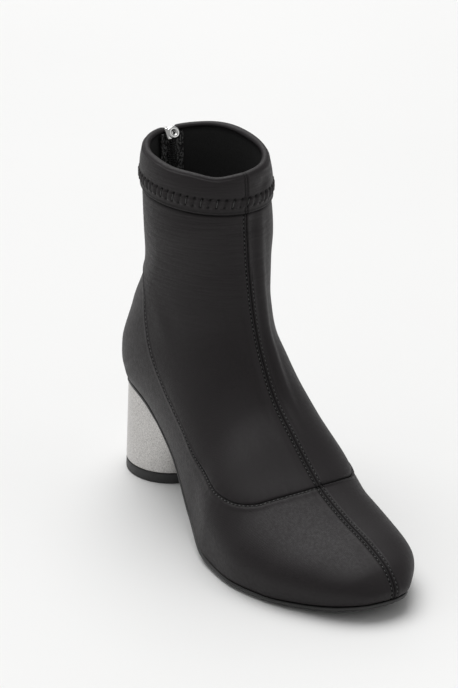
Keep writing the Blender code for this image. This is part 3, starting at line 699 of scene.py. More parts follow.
def hem_bands(run_below):
    """Bands of the turned hem (its lip, its sewn body and its rolled rim) and what its sewing needs."""
    grid = patch(straight_across(HEM), straight_across(COLLAR), between(slit_line, HEM, COLLAR),
                 between(ridge, HEM, COLLAR), ACROSS, HEM_UP)
    rings, distance = level_rings(grid, SHAFT_COLUMNS, HEM_UP)
    normals, rise = outward(rings)
    tall = rows_run(rings)
    step = SHAFT_STEP + HEM_STEP
    seam = HEM_SEAM * centre_seam(distance, rings[..., 2])
    shade = HEM_SEAM * centre_shade(distance, rings[..., 2])
    carried = (rings, normals, seam, rise, distance, tall + run_below, shade)

    turn = np.linspace(LIP_START, 1, LIP_ROWS)[:, None] * pi
    risen = (1 - np.cos(turn)) / 2
    first = [np.repeat(values[:1], LIP_ROWS, axis=0) for values in carried]
    lip_out = SHAFT_STEP - LIP_TUCK + (HEM_STEP + LIP_TUCK) * risen + first[2] * risen
    lip_down = np.zeros((1, rings.shape[1])) - np.sin(turn)
    # The lip's underside is darkened with painted shade
    lip = (*first[:2], lip_out, lip_down, *first[3:6], first[6] + 1 - soft_step(risen, 0.7, 1.1))

    sewn = soft_step(tall, HEM_STITCH_LOW - 0.8, HEM_STITCH_LOW + 0.4)
    sewn = sewn * (1 - soft_step(tall, HEM_STITCH_HIGH - 0.4, HEM_STITCH_HIGH + 0.8))
    lean = HEM_STITCH_LEAN * (tall - HEM_STITCH_LOW) / (HEM_STITCH_HIGH - HEM_STITCH_LOW)
    off_slot = (np.mod((distance - lean) / HEM_PITCH + 0.5, 1) - 0.5) * HEM_PITCH
    pads = 0.75 * sewn * np.sin(pi * off_slot / HEM_PITCH)**2
    slots = 0.18 * sewn * bump(off_slot, 0.55)
    top_holes = bump(off_slot - 0.4, 0.70) * bump(tall - HEM_STITCH_HIGH - 0.2, 0.7)
    low_holes = bump(off_slot + 0.2, 0.60) * bump(tall - HEM_STITCH_LOW, 0.55)
    dent = bumps(distance, HEM_DENT) * soft_step(tall, 5, 15)
    dent = dent + bumps(distance, RIM_DENT) * bump(tall - 12.5, 4.0)
    sag = bumps(distance, RIM_SAG) * soft_step(tall, 7, 19)
    waves = 0.40 * np.sin(2 * pi * distance / 57 + 0.8) * soft_step(tall, 6, 19) - dent
    roll = RIM_LEAN * np.clip((tall - RIM_LEAN_FROM) / (tall[-1:] - RIM_LEAN_FROM), 0, 1)**2
    smooth_out = step + seam + waves - roll + 0.30 * np.sin(pi * np.clip(tall / 20, 0, 1))
    hem_out = smooth_out + pads - slots - 0.9 * top_holes - 0.5 * low_holes
    # Painted shade in the slots and stitch holes and along the hem's lower edge
    hem_shade = shade + 0.28 * sewn * bump(off_slot, 0.5) + top_holes + 0.9 * low_holes
    hem_shade = hem_shade + 0.6 * bump(tall, 0.9)
    body = [values[1:-1] for values in (*carried[:2], hem_out, sag, *carried[3:6], hem_shade)]

    out_top = step - roll[-1:]
    radius = (out_top + RIM_ROLL_IN) / 2
    turn = (np.linspace(0, 1, RIM_ROWS + 1)[1:] * pi)[:, None]
    outside = np.clip(np.cos(turn), 0, 1)
    last = [np.repeat(values[-1:], RIM_ROWS, axis=0) for values in carried]
    rim_out = radius * np.cos(turn) + (out_top - radius) + waves[-1:] * np.cos(turn / 2)
    rim_down = radius * (np.sin(turn) - 1) + sag[-1:]
    rim = (*last[:2], rim_out + last[2] * outside, rim_down, *last[3:6], last[6] * outside)
    return (lip, body, rim), (rings, normals, smooth_out, tall, distance)


def new_mesh(name, points, faces):
    mesh = bpy.data.meshes.new(name)
    mesh.from_pydata([tuple(point) for point in points * MM], [], faces)
    return mesh


def mend(mesh, merge=0.0):
    """Turn the faces of a closed mesh outwards and shade it smooth, after merging points that meet."""
    shape = bmesh.new()
    shape.from_mesh(mesh)
    if merge:
        bmesh.ops.remove_doubles(shape, verts=shape.verts, dist=merge)
    bmesh.ops.recalc_face_normals(shape, faces=shape.faces)
    shape.to_mesh(mesh)
    shape.free()
    mesh.shade_smooth()


def quad_strip(first, second):
    corners = np.column_stack([first[:-1], first[1:], second[1:], second[:-1]])
    return [tuple(face) for face in corners.tolist()]


def shell_mesh(name, outside, inside, inside_rows, cloth):
    """Closed wall from its outer rings and fewer inner rings, each beside one of the outer rings."""
    rows, columns = outside.shape[:2]
    number = np.arange(rows * columns).reshape(rows, columns)
    lining = np.arange(len(inside) * columns).reshape(len(inside), columns) + rows * columns
    faces = []
    for i in range(rows - 1):
        faces += quad_strip(number[i], number[i + 1])
    cloth_faces = len(faces)
    for i in range(len(inside) - 1):
        faces += quad_strip(lining[i + 1], lining[i])
    lining_faces = len(faces)
    faces += quad_strip(lining[0], number[0])
    if np.linalg.norm(outside[-1] - inside[-1], axis=1).max() > SAME_POINT:
        faces += quad_strip(number[-1], lining[-1])
    open_rows = back_gap(outside) > SAME_POINT
    for k, (low, high) in enumerate(zip(inside_rows[:-1], inside_rows[1:])):
        if open_rows[high]:
            for column in (0, -1):
                lip = number[low:high + 1, column].tolist()
                faces.append((*lip, int(lining[k + 1, column]), int(lining[k, column])))
    mesh = new_mesh(name, np.vstack([outside.reshape(-1, 3), inside.reshape(-1, 3)]), faces)
    # The lining's points get no painted shade
    clean = cloth[inside_rows] * np.array([1.0, 1.0, 0.0])
    cloth = np.vstack([cloth.reshape(-1, 3), clean.reshape(-1, 3)])
    mesh.attributes.new("cloth", "FLOAT_VECTOR", "POINT").data.foreach_set("vector", cloth.ravel())
    marks = np.zeros(len(faces), int)
    marks[cloth_faces:lining_faces] = 1
    mesh.polygons.foreach_set("material_index", marks)
    mend(mesh, MERGE)
    return mesh


def deselect():
    if bpy.context.object is not None and bpy.context.object.mode != "OBJECT":
        bpy.ops.object.mode_set(mode="OBJECT")
    bpy.ops.object.select_all(action="DESELECT")


def open_new():
    """The primitive just added, with its place and size applied, opened in edit mode and selected."""
    bpy.ops.object.transform_apply(location=True, rotation=True, scale=True)
    bpy.ops.object.mode_set(mode="EDIT")
    bpy.ops.mesh.select_all(action="SELECT")
    return bpy.context.object


def move_corners(piece, moved, selected_only=False):
    """Move the corners of a piece in edit mode, each to what a function makes of its place."""
    shape = bmesh.from_edit_mesh(piece.data)
    for corner in shape.verts:
        if corner.select or not selected_only:
            corner.co = moved(corner.co)
    bmesh.update_edit_mesh(piece.data)


def apply_modifier(piece, kind, **settings):
    modifier = piece.modifiers.new(kind.lower(), kind)
    for setting, value in settings.items():
        setattr(modifier, setting, value)
    bpy.ops.object.modifier_apply(modifier=modifier.name)


def dress(piece, name, finishes, body, slot, *nodes):
    """Name a piece and give it its materials, the body it rides on and the solids it stands for."""
    piece.name = name
    piece.data.name = name
    for finish in finishes:
        piece.data.materials.append(finish)
    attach(piece, body)
    if nodes:
        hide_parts(*nodes)
    return piece


def add_object(name, data):
    piece = bpy.data.objects.new(name, data)
    bpy.context.scene.collection.objects.link(piece)
    return piece


def add_piece(name, data, finishes, body, slot, *nodes):
    return dress(add_object(name, data), name, finishes, body, slot, *nodes)


def close_piece(piece, sharp, name, finish, body, slot, *nodes):
    """Leave edit mode, keep edges over an angle sharp, and dress the piece."""
    bpy.ops.object.mode_set(mode="OBJECT")
    bpy.ops.object.shade_smooth_by_angle(angle=radians(sharp))
    return dress(piece, name, [finish], body, slot, *nodes)


def taken_apart(piece):
    """Points and faces of a modelled form, which leaves the scene."""
    bpy.ops.object.mode_set(mode="OBJECT")
    points = np.array([corner.co for corner in piece.data.vertices])
    faces = [tuple(face.vertices) for face in piece.data.polygons]
    bpy.data.objects.remove(piece)
    return points, faces


def copies_mesh(name, placed, faces):
    """One mesh of copies of a form, from the points of each copy."""
    size = len(placed[0])
    all_faces = [tuple(v + k * size for v in face) for k in range(len(placed)) for face in faces]
    mesh = new_mesh(name, np.vstack(placed), all_faces)
    mesh.shade_smooth()
    return mesh


def link_node(tree, kind, sources, **values):
    """New node with its values set and its inputs linked from other nodes' sockets."""
    node = tree.nodes.new(kind)
    for socket, value in values.items():
        node.inputs[socket.replace("_", " ")].default_value = value
    for socket, source in sources.items():
        tree.links.new(source, node.inputs[socket])
    return node


def object_place(tree):
    return tree.nodes.new("ShaderNodeTexCoord").outputs["Object"]


def grain(tree, scale, stretch=(1, 1, 1), detail=3.0):
    """Noise in the piece's own coordinates, finer along a stretched axis."""
    mapping = link_node(tree, "ShaderNodeMapping", {"Vector": object_place(tree)}, Scale=stretch)
    noise = link_node(tree, "ShaderNodeTexNoise", {"Vector": mapping.outputs["Vector"]},
                      Scale=scale, Detail=detail)
    return noise.outputs["Fac"]


def raise_by(tree, shader, height, strength, distance, below=None):
    """Relief from a height, on top of the relief below it."""
    sources = {"Height": height} if below is None else {"Height": height, "Normal": below}
    node = link_node(tree, "ShaderNodeBump", sources, Strength=strength, Distance=distance)
    tree.links.new(node.outputs["Normal"], shader.inputs["Normal"])
    return node.outputs["Normal"]


def spread(tree, value, stops):
    """Colour from a factor, through a ramp of two stops: place, and colour or grey."""
    ramp = link_node(tree, "ShaderNodeValToRGB", {"Fac": value})
    for element, (place, colour) in zip(ramp.color_ramp.elements, stops):
        element.position = place
        element.color = (*np.broadcast_to(colour, 3), 1.0)
    return ramp.outputs["Color"]


def new_finish(name, colour, roughness, metallic=0.0):
    finish = bpy.data.materials.new(name)
    finish.use_nodes = True
    shader = finish.node_tree.nodes["Principled BSDF"]
    shader.inputs["Base Color"].default_value = (*colour, 1.0)
    shader.inputs["Roughness"].default_value = roughness
    shader.inputs["Metallic"].default_value = metallic
    return finish, finish.node_tree, shader


def grained(name):
    """Material from the table, whose colour, roughness and relief follow one noise."""
    colour, roughness, metallic, noise, colours, gloss, relief = FINISHES[name]
    finish, tree, shader = new_finish(name, colour, roughness, metallic)
    factor = grain(tree, *noise)
    for socket, stops in (("Base Color", colours), ("Roughness", gloss)):
        if stops:
            tree.links.new(spread(tree, factor, stops), shader.inputs[socket])
    if relief:
        raise_by(tree, shader, factor, *relief)
    return finish


def black_rubber():
    """Rubber with its own clouds of colour."""
    finish = grained("black rubber")
    tree = finish.node_tree
    clouds = spread(tree, grain(tree, 60.0), [(0.3, 0.018), (0.7, 0.027)])
    tree.links.new(clouds, tree.nodes["Principled BSDF"].inputs["Base Color"])
    return finish


def ribs(tree, run, turn):
    """Fine slanting ribs of the knit in the cloth's own run."""
    mapping = link_node(tree, "ShaderNodeMapping", {"Vector": run}, Rotation=(0, 0, turn))
    wave = link_node(tree, "ShaderNodeTexWave", {"Vector": mapping.outputs["Vector"]},
                     Scale=2 * pi / (20 * RIB_PERIOD), Distortion=1.2, Detail=1.0)
    return wave.outputs["Fac"]


def streaks(tree):
    """Fine level streaks round the leg that fade out below the ankle."""
    parts = link_node(tree, "ShaderNodeSeparateXYZ", {"Vector": object_place(tree)})
    fade = link_node(tree, "ShaderNodeMapRange", {"Value": parts.outputs["Z"]},
                     From_Min=STREAK_FADE[0] * MM, From_Max=STREAK_FADE[1] * MM)
    fade.interpolation_type = "SMOOTHSTEP"
    level = grain(tree, 640.0, (0.07, 0.07, 1.0))
    faded = link_node(tree, "ShaderNodeMath", {0: level, 1: fade.outputs["Result"]})
    faded.operation = "MULTIPLY"
    return faded.outputs[0]


def satin_fabric():
    """Black satin knit, with painted shade and a duller finish in its seams, and fine ribs and streaks."""
    finish, tree, shader = new_finish("satin stretch fabric", (0.008, 0.0077, 0.0078), 0.62)
    shader.inputs["Specular IOR Level"].default_value = 0.345
    marks = tree.nodes.new("ShaderNodeAttribute")
    marks.attribute_name = "cloth"
    run = marks.outputs["Vector"]
    # Painted shade: the third value of the cloth attribute darkens the colour towards near black in the seams
    # and under the hem, and dulls it
    painted_shade_factor = link_node(tree, "ShaderNodeSeparateXYZ", {"Vector": run}).outputs["Z"]
    nap = grain(tree, 620.0, (1, 1, 0.7), 5.0)
    fine = grain(tree, 2400.0, (0.7, 0.7, 1.2), 2.0)

    colour = spread(tree, nap, [(0.3, (0.0076, 0.0054, 0.0063)), (0.7, (0.0106, 0.0079, 0.0089))])
    mix = tree.nodes.new("ShaderNodeMix")
    mix.data_type = "RGBA"
    factor, first, second = mix.inputs[0], mix.inputs[6], mix.inputs[7]
    second.default_value = (*SEAM_PAINTED_SHADE, 1)
    tree.links.new(painted_shade_factor, factor)
    tree.links.new(colour, first)
    tree.links.new(mix.outputs[2], shader.inputs["Base Color"])

    rough = spread(tree, nap, [(0.32, 0.50), (0.68, 0.62)])
    matt = link_node(tree, "ShaderNodeMath", {0: painted_shade_factor, 2: rough})
    matt.operation = "MULTIPLY_ADD"
    matt.inputs[1].default_value = SEAM_DULL
    tree.links.new(matt.outputs[0], shader.inputs["Roughness"])

    wales = raise_by(tree, shader, ribs(tree, run, RIB_SLANT), 0.10, 0.0002)
    courses = raise_by(tree, shader, ribs(tree, run, -RIB_SLANT), 0.10, 0.0002, wales)
    streaked = raise_by(tree, shader, streaks(tree), 0.42, 0.0009, courses)
    raise_by(tree, shader, fine, 0.12, 0.0002, streaked)
    return finish


def repaint(node, finish):
    """Give a solid that stays in the picture its material."""
    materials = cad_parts[node].data.materials
    materials.clear()
    materials.append(finish)


def back_line(z):
    row = section(np.linspace(SEAM_BACK, COLLAR, 100))
    return np.interp(z, row["edge_z"], row["edge_x"]), np.interp(z, row["edge_z"], row["edge_y"])


def slider_place():
    height = SLIDER_BOTTOM + SLIDER_SIZE[2] / 2
    x, y = back_line(height)
    return np.array([x - SLIDER_PROUD, y, height])


def pull_axis():
    return slider_place() - np.array([GAP + RING_WIRE + 0.1, 0.0, 0.0])


def ring_direction():
    return np.array([-cos(RING_DROOP), 0.0, -sin(RING_DROOP)])


def ring_points():
    """Middle line of the ring, from corner to corner."""
    corners = [(RING_CORNER, 1, 180), (RING_REACH - RING_CORNER, 1, 90),
               (RING_REACH - RING_CORNER, -1, 0), (RING_CORNER, -1, -90)]
    points = []
    for reach, side, start in corners:
        for angle in np.radians(start - np.linspace(0, 90, 9)):
            along = reach + RING_CORNER * cos(angle)
            across = side * (RING_HALF - RING_CORNER) + RING_CORNER * sin(angle)
            points.append(pull_axis() + along * ring_direction() + np.array([0.0, across, 0.0]))
    return points


def strand_points(strand, side):
    """Route of one strand: a quarter turn over the ring's outer bar, then the hanging length."""
    centre = RING_WIRE + GAP + CORD_RADIUS - CORD_ARCH
    route = []
    for angle in np.linspace(CORD_START / CORD_ARCH, pi / 2, 4)[:3]:
        route.append((side * CORD_ARCH * sin(angle), 0.0, centre + CORD_ARCH * cos(angle)))
    route += strand
    route = smooth_rows(np.array(route), np.linspace(0, len(route) - 1, 200))
    run = around_run(route)
    stops = np.linspace(0, run[-1], 2 * int(run[-1] / CORD_STEP) + 1)
    return at_stops(route, run, stops) + pull_axis() + RING_REACH * ring_direction()


def add_tube(name, points, radius, finish, slot, node, cyclic=False):
    """Round tube along points, riding on the pull."""
    curve = bpy.data.curves.new(name, "CURVE")
    curve.dimensions = "3D"
    curve.bevel_depth = radius * MM
    curve.bevel_resolution = 4
    curve.use_fill_caps = True
    spline = curve.splines.new("POLY")
    spline.points.add(len(points) - 1)
    for knot, point in zip(spline.points, points):
        knot.co = (*metres(point), 1.0)
    spline.use_cyclic_u = cyclic
    return add_piece(name, curve, [finish], "pull", slot, node)


def add_bell(name, top, finish, node):
    """Bell end: a cylinder drawn down ring by ring from its lowest face, and hollowed from below."""
    deselect()
    bpy.ops.mesh.primitive_cylinder_add(vertices=32, radius=1.5 * MM, depth=1.0 * MM,
                                        location=metres(top - np.array([0, 0, 0.5])))
    bell = open_new()
    bpy.ops.mesh.select_mode(type="FACE")
    bpy.ops.mesh.select_all(action="DESELECT")
    shape = bmesh.from_edit_mesh(bell.data)
    lowest = min(shape.faces, key=lambda face: face.calc_center_median().z)
    lowest.select_set(True)
    shape.faces.active = lowest
    bmesh.update_edit_mesh(bell.data)
    centre = Vector(metres(top))
    for height, radius in BELL_RINGS:
        def on_ring(place):
            off = Vector((place.x - centre.x, place.y - centre.y, 0)).normalized()
            return Vector((centre.x, centre.y, centre.z + height * MM)) + off * radius * MM
        bpy.ops.mesh.extrude_region_move()
        move_corners(bell, on_ring, selected_only=True)
    bpy.ops.mesh.select_all(action="SELECT")
    bpy.ops.mesh.remove_doubles(threshold=1e-6)
    bpy.ops.mesh.normals_make_consistent(inside=False)
    return close_piece(bell, 35, name, finish, "pull", "polished_metal", node)


def add_cords(cord_finish, metal):
    """The two hanging strands with their bell ends."""
    for side, name, strand in ((-1, "outer", OUTER_STRAND), (1, "inner", INNER_STRAND)):
        points = strand_points(strand, side)
        tube = add_tube("cord_" + name, points, CORD_RADIUS, cord_finish, "round_cord", "pull_cord_" + name)
        bell = add_bell("bell_" + name, points[-1] - np.array([0, 0, GAP]), metal, "cord_end_" + name)


def feather_height(x):
    line = edge(np.linspace(0, HEEL_BACK, 200))
    return np.interp(x, line[::-1, 0], line[::-1, 1])


def sole_thickness(x):
    return SOLE_AT_SEAT + (SOLE_AT_BALL - SOLE_AT_SEAT) * soft_step(x, SOLE_THIN_X, SOLE_FULL_X)


def sole_loop(margin):
    """Outline of the bottom of the last, moved outwards by a margin: heel, outer side, toe, inner side."""
    places = np.concatenate([HEEL_BACK - np.linspace(0, 1, SEAT_ROWS)**2,
                             np.linspace(HEEL_BACK - 1, 0, SOLE_ROWS - SEAT_ROWS + 2)[1:]])
    row = section(places)
    seat = (row["edge_x"] - HEEL_SEAT_SHIFT) / (row["edge_x"][0] - HEEL_SEAT_SHIFT)
    seat = HEEL_SEAT[1] * np.sqrt(np.clip(1 - seat**2, 0, 1))
    at_seat = places > HEEL_BACK - 1
    outer, inner = [
        np.stack([row["edge_x"], row["edge_y"] + sign * np.where(at_seat, seat, row[side])], axis=-1)
        for sign, side in ((-1, "edge_out"), (1, "edge_in"))]
    loop = np.vstack([outer, inner[-2:0:-1]])
    run = np.roll(loop, -1, axis=0) - np.roll(loop, 1, axis=0)
    outwards = np.stack([run[:, 1], -run[:, 0]], axis=-1)
    return loop + margin * outwards / np.linalg.norm(outwards, axis=1)[:, None]


def loft(name, loops):
    """Closed mesh through loops of the same size, with strips across its ends."""
    size = len(loops[0])
    half = size // 2
    faces = []
    for low in range(0, (len(loops) - 1) * size, size):
        for i in range(size):
            j = (i + 1) % size
            faces.append((low + i, low + j, low + size + j, low + size + i))
    for first in (0, (len(loops) - 1) * size):
        faces.append((first, first + 1, first + size - 1))
        faces.append((first + half - 1, first + half, first + half + 1))
        for i in range(1, half - 1):
            faces.append((first + i, first + i + 1, first + size - i - 1, first + size - i))
    mesh = new_mesh(name, np.vstack(loops), faces)
    mend(mesh)
    mesh.set_sharp_from_angle(angle=radians(50))
    return mesh


def add_sole(rubber):
    """Outsole with a rounded feather edge and a bevel down to the tread, plain at the heel."""
    loops = []
    for margin, share in SOLE_EDGES:
        loop = sole_loop(margin)
        if share >= 0.5:
            plain = 1 - soft_step(loop[:, :1], *SOLE_PLAIN)
            loop = loop * (1 - plain) + sole_loop(SOLE_EDGE) * plain
        seat = feather_height(loop[:, 0]) - SEATED
        loops.append(np.column_stack([loop, seat - share * sole_thickness(loop[:, 0])]))
    return add_piece("sole", loft("sole", loops), [rubber], "boot", "sole_rubber", "outsole")


def add_heel_part(name, node, finish, slot, low_share, high_share):
    """Oval part of the heel: a cylinder shaped and bevelled in edit mode."""
    low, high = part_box(node)
    middle = (low.z + high.z) / 2
    deselect()
    bpy.ops.mesh.primitive_cylinder_add(vertices=96, radius=HEEL_SEAT[0] * MM, depth=high.z - low.z,
                                        location=(0, 0, middle))
    piece = open_new()

    def on_oval(place):
        angle = np.arctan2(-place.y, -place.x)
        top = place.z > middle
        share = high_share if top else low_share
        length, width = np.array(HEEL_FLOOR) * (1 - share) + np.array(HEEL_SEAT) * share
        x, y = HEEL_SEAT_SHIFT * share - length * cos(angle), -width * sin(angle)
        z = place.z / MM
        if top and name == "heel":
            z = feather_height(x) - 2 * SEATED - sole_thickness(x)
        return Vector((x, y, z)) * MM

    move_corners(piece, on_oval)
    bpy.ops.mesh.select_mode(type="EDGE")
    bpy.ops.mesh.select_all(action="DESELECT")
    shape = bmesh.from_edit_mesh(piece.data)
    for side in shape.edges:
        heights = [corner.co.z for corner in side.verts]
        at_end = any(len(face.verts) > 4 for face in side.link_faces)
        side.select_set(at_end and max(heights) - min(heights) < 4 * MM)
    bmesh.update_edit_mesh(piece.data)
    bpy.ops.mesh.bevel(offset=HEEL_BEVEL * MM, segments=3, profile=0.6)
    close_piece(piece, 40, name, finish, "boot", slot, node)


def modelled_stitch():
    """One stitch along X, one millimetre long and thick: a ball drawn out with its ends sunk."""
    deselect()
    bpy.ops.mesh.primitive_uv_sphere_add(segments=8, ring_count=6, radius=0.5)
    ball = open_new()
    bpy.ops.mesh.normals_make_consistent(inside=False)
    move_corners(ball, lambda place: Vector((place.z, place.y, -place.x - 0.9 * place.z**2)))
    return taken_apart(ball)


def row_of_stitches(line, normals):
    """Start and end points and normals of stitches at an even pitch along a line."""
    run = around_run(line)
    count = int(run[-1] / STITCH_PITCH)
    begin = (np.arange(count) + 0.5 * (1 - STITCH_SHARE)) * run[-1] / count
    end = begin + STITCH_SHARE * run[-1] / count
    up = unit(at_stops(normals, run, (begin + end) / 2))
    return at_stops(line, run, begin), at_stops(line, run, end), up


def level_line(values, field, level):
    """Line across the columns of a grid where a field has a level, each column running towards it."""
    return np.array([[np.interp(level, field[:, j], values[:, j, k]) for k in range(3)]
                     for j in range(values.shape[1])])


def add_sewing(name, rows, radius, form, thread):
    """Copies of one stitch along rows of start points, end points and normals, as one piece."""
    points, faces = form
    placed = []
    for start, end, normal in zip(*(np.vstack(part) for part in zip(*rows))):
        length = np.linalg.norm(end - start)
        along = (end - start) / length
        across = np.cross(normal, along)
        across = across / np.linalg.norm(across)
        scaled = points * np.array([length, 2 * radius, 2 * radius])
        placed.append((start + end) / 2 + scaled @ np.array([along, across, np.cross(along, across)]))
    add_piece(name, copies_mesh(name, placed, faces), [thread], "boot", "stretch_fabric")


def add_foxing(guide, finishes):
    """Foxing as a closed wall; gives what its sewing needs."""
    rings, normals, height, away, marks = foxing_rings(guide)
    cloth = rings + normals * height[..., None]
    kept = list(range(0, len(rings) - FOXING_LINING_STEP, FOXING_LINING_STEP)) + [len(rings) - 1]
    inside = rings[kept] - normals[kept] * FOXING_WALL
    mesh = shell_mesh("foxing", cloth, inside, kept, marks)
    add_piece("foxing", mesh, finishes, "boot", "stretch_fabric", "upper")
    return cloth, normals, away, marks[..., 0], rings[-1, :, 0]


def add_shaft(guide, finishes):
    """Shaft with its turned hem as a closed wall, rolled in at the slit; gives what its sewing needs."""
    shaft = shaft_band(guide)
    rows = len(shaft[0])
    bands, hem = hem_bands(shaft[6][-1])
    base, normals, out, down, rise, distance, run, shade = map(np.concatenate, zip(shaft, *bands))
    from_slit = np.minimum(distance - distance[:, :1], distance[:, -1:] - distance)
    open_share = back_gap(base)[:, None] / (2 * SLIT_HALF)
    roll = 1 - np.sqrt(np.clip(1 - (1 - np.clip(from_slit / SLIT_ROLL, 0, 1))**2, 0, 1))
    cloth = base + normals * (out - SLIT_TUCK * roll * np.clip(open_share, 0, 1))[..., None]
    cloth = cloth + rise * down[..., None]
    rim_start = len(base) - RIM_ROWS
    kept = sorted({*range(0, rim_start, SHAFT_LINING_STEP), rim_start - 1})
    sag = np.where(np.arange(len(base)) < rows + LIP_ROWS, 0.0, down.T).T
    inside = base[kept] - normals[kept] * WALL + rise[kept] * sag[kept][..., None]
    inside = np.concatenate([inside, cloth[-1:]])
    mesh = shell_mesh("shaft", cloth, inside, kept + [len(base) - 1], cloth_field(distance, run, shade))
    add_piece("shaft", mesh, finishes, "boot", "stretch_fabric", "upper")
    return cloth[:rows], normals[:rows], distance[0], hem


def add_upper(fabric, lining, thread):
    """Foxing and shaft with the turned hem, and the sewing on them."""
    form = modelled_stitch()
    guide = seam_guide()
    foxing, foxing_normals, away, foxing_distance, foxing_top_x = add_foxing(guide, [fabric, lining])
    shaft, shaft_normals, shaft_distance, hem = add_shaft(guide, [fabric, lining])

    rows = []
    for side, top in ((-1, COLLAR_ABOVE), (1, ANKLE)):
        column = int(np.argmin(np.abs(shaft_distance - side * SEAM_STITCH)))
        line, up = shaft[4:, column], shaft_normals[4:, column]
        sewn = line[:, 2] < top
        rows.append(row_of_stitches(line[sewn] + STITCH_PROUD * up[sewn], up[sewn]))
        column = int(np.argmin(np.abs(foxing_distance[0] - side * SEAM_STITCH)))
        line, up = foxing[2:-3, column], foxing_normals[2:-3, column]
        rows.append(row_of_stitches(line + STITCH_PROUD * up, up))
    add_sewing("centre_stitches", rows, STITCH_RADIUS, form, thread)

    up = foxing_normals[-6]
    line = level_line(foxing[::-1], away[::-1], FOXING_STITCH) + STITCH_PROUD * up
    middle = int(np.argmin(np.abs(foxing_distance[-1])))
    clean_end = middle + int(np.argmin(np.abs(foxing_top_x[middle:] - CLEAN_EDGE_END)))
    rows = [row_of_stitches(line[part], up[part])
            for part in (slice(3, middle - 8), slice(clean_end, len(line) - 3))]
    add_sewing("foxing_stitches", rows, STITCH_RADIUS, form, thread)

    hem_rings, hem_normals, smooth_out, tall, hem_distance = hem
    hem_cloth = hem_rings + hem_normals * (smooth_out + HEM_STITCH_PROUD)[..., None]
    low = level_line(hem_cloth, tall, HEM_STITCH_LOW)
    high = level_line(hem_cloth, tall, HEM_STITCH_HIGH)
    up = level_line(hem_normals, tall, (HEM_STITCH_LOW + HEM_STITCH_HIGH) / 2)
    around = hem_distance[len(hem_distance) // 3]
    count = int(min(-around[0], around[-1]) / HEM_THREAD_PITCH)
    stops = np.arange(-count, count + 1) * HEM_THREAD_PITCH
    rows = [(at_stops(low, around, stops), at_stops(high, around, stops + HEM_STITCH_LEAN),
             unit(at_stops(up, around, stops)))]
    add_sewing("hem_stitches", rows, HEM_STITCH_RADIUS, form, thread)


def add_zip(tape_finish, coil):
    """Coil of the closed chain in the slit, the same coil seen inside, and the tape."""
    deselect()
    bpy.ops.mesh.primitive_torus_add(major_radius=1.0, minor_radius=0.3, major_segments=14, minor_segments=7)
    turn = open_new()
    bpy.ops.transform.resize(value=(0.95, 1.55, 1.0))
    move_corners(turn, lambda place: Vector((place.x, place.y, place.z + 0.22 * place.x)))
    points, faces = taken_apart(turn)
    for name, depth, top, nodes in (("zip_coil", COIL_DEPTH, SLIDER_BOTTOM - 0.6, ("zip_chain",)),
                                    ("zip_coil_inside", TAPE_DEPTH + 1.5, COIL_INSIDE_TOP, ())):
        placed = []
        for k, height in enumerate(np.arange(CHAIN_BOTTOM + 1.0, top, COIL_PITCH)):
            x, y = back_line(height)
            side = 1 if k % 2 else -1
            placed.append(points + np.array([x + depth, y + side * COIL_HALF, height]))
        add_piece(name, copies_mesh(name, placed, faces), [coil], "boot", "zip_coil", *nodes)
    repaint("zip_tape", tape_finish)


def add_tape_end(tape_finish):
    """Lower end of the tape behind the foot of the slit: a sheet bent to the back line and thickened."""
    deselect()
    bpy.ops.mesh.primitive_grid_add(x_subdivisions=10, y_subdivisions=12, size=2.0)
    end = open_new()

    def behind_back_line(place):
        height = TAPE_END[0] + (place.y + 1) / 2 * (TAPE_END[1] - TAPE_END[0])
        x, y = back_line(height)
        return Vector((x + TAPE_END_DEPTH + 0.5 * place.x**2, y + place.x * TAPE_END_HALF, height)) * MM

    move_corners(end, behind_back_line)
    bpy.ops.object.mode_set(mode="OBJECT")
    apply_modifier(end, "SOLIDIFY", thickness=0.7 * MM, offset=0.0)
    close_piece(end, 50, "zip_tape_end", tape_finish, "boot", "zip_tape")


def add_slider(metal):
    """Zip slider: a block tapered to its waist and rounded."""
    middle = slider_place() + np.array([SLIDER_SIZE[0] / 2, 0, 0])
    deselect()
    bpy.ops.mesh.primitive_cube_add(size=MM, location=metres(middle))
    bpy.context.object.scale = SLIDER_SIZE
    slider = open_new()
    bpy.ops.mesh.subdivide(number_cuts=3)

    def waisted(place):
        share = (place.z / MM - middle[2]) / SLIDER_SIZE[2] + 0.5
        waist = 0.70 + 0.30 * soft_step(share, 0.15, 0.75) - 0.12 * soft_step(share, 0.9, 1.0)
        return Vector((place.x, middle[1] * MM + (place.y - middle[1] * MM) * waist, place.z))

    move_corners(slider, waisted)
    bpy.ops.object.mode_set(mode="OBJECT")
    apply_modifier(slider, "BEVEL", width=0.9 * MM, segments=4, limit_method="ANGLE")
    apply_modifier(slider, "SUBSURF", levels=1, render_levels=1)
    close_piece(slider, 50, "slider", metal, "boot", "polished_metal", "zip_slider")


def add_bail(metal):
    """Bail of the slider: a ring drawn up and cut flat behind its face."""
    face = slider_place()
    deselect()
    bpy.ops.mesh.primitive_torus_add(
        major_radius=2.9 * MM, minor_radius=0.7 * MM, major_segments=40, minor_segments=14,
        location=metres(face), rotation=(pi / 2, 0, 0))
    bail = open_new()
    bpy.ops.transform.resize(value=(1.0, 1.0, 1.12), center_override=metres(face))
    bpy.ops.mesh.bisect(plane_co=[(face[0] + 1.5) * MM, 0, 0], plane_no=(1, 0, 0),
                        clear_outer=True, use_fill=True)
    close_piece(bail, 50, "slider_bail", metal, "boot", "polished_metal", "zip_slider")


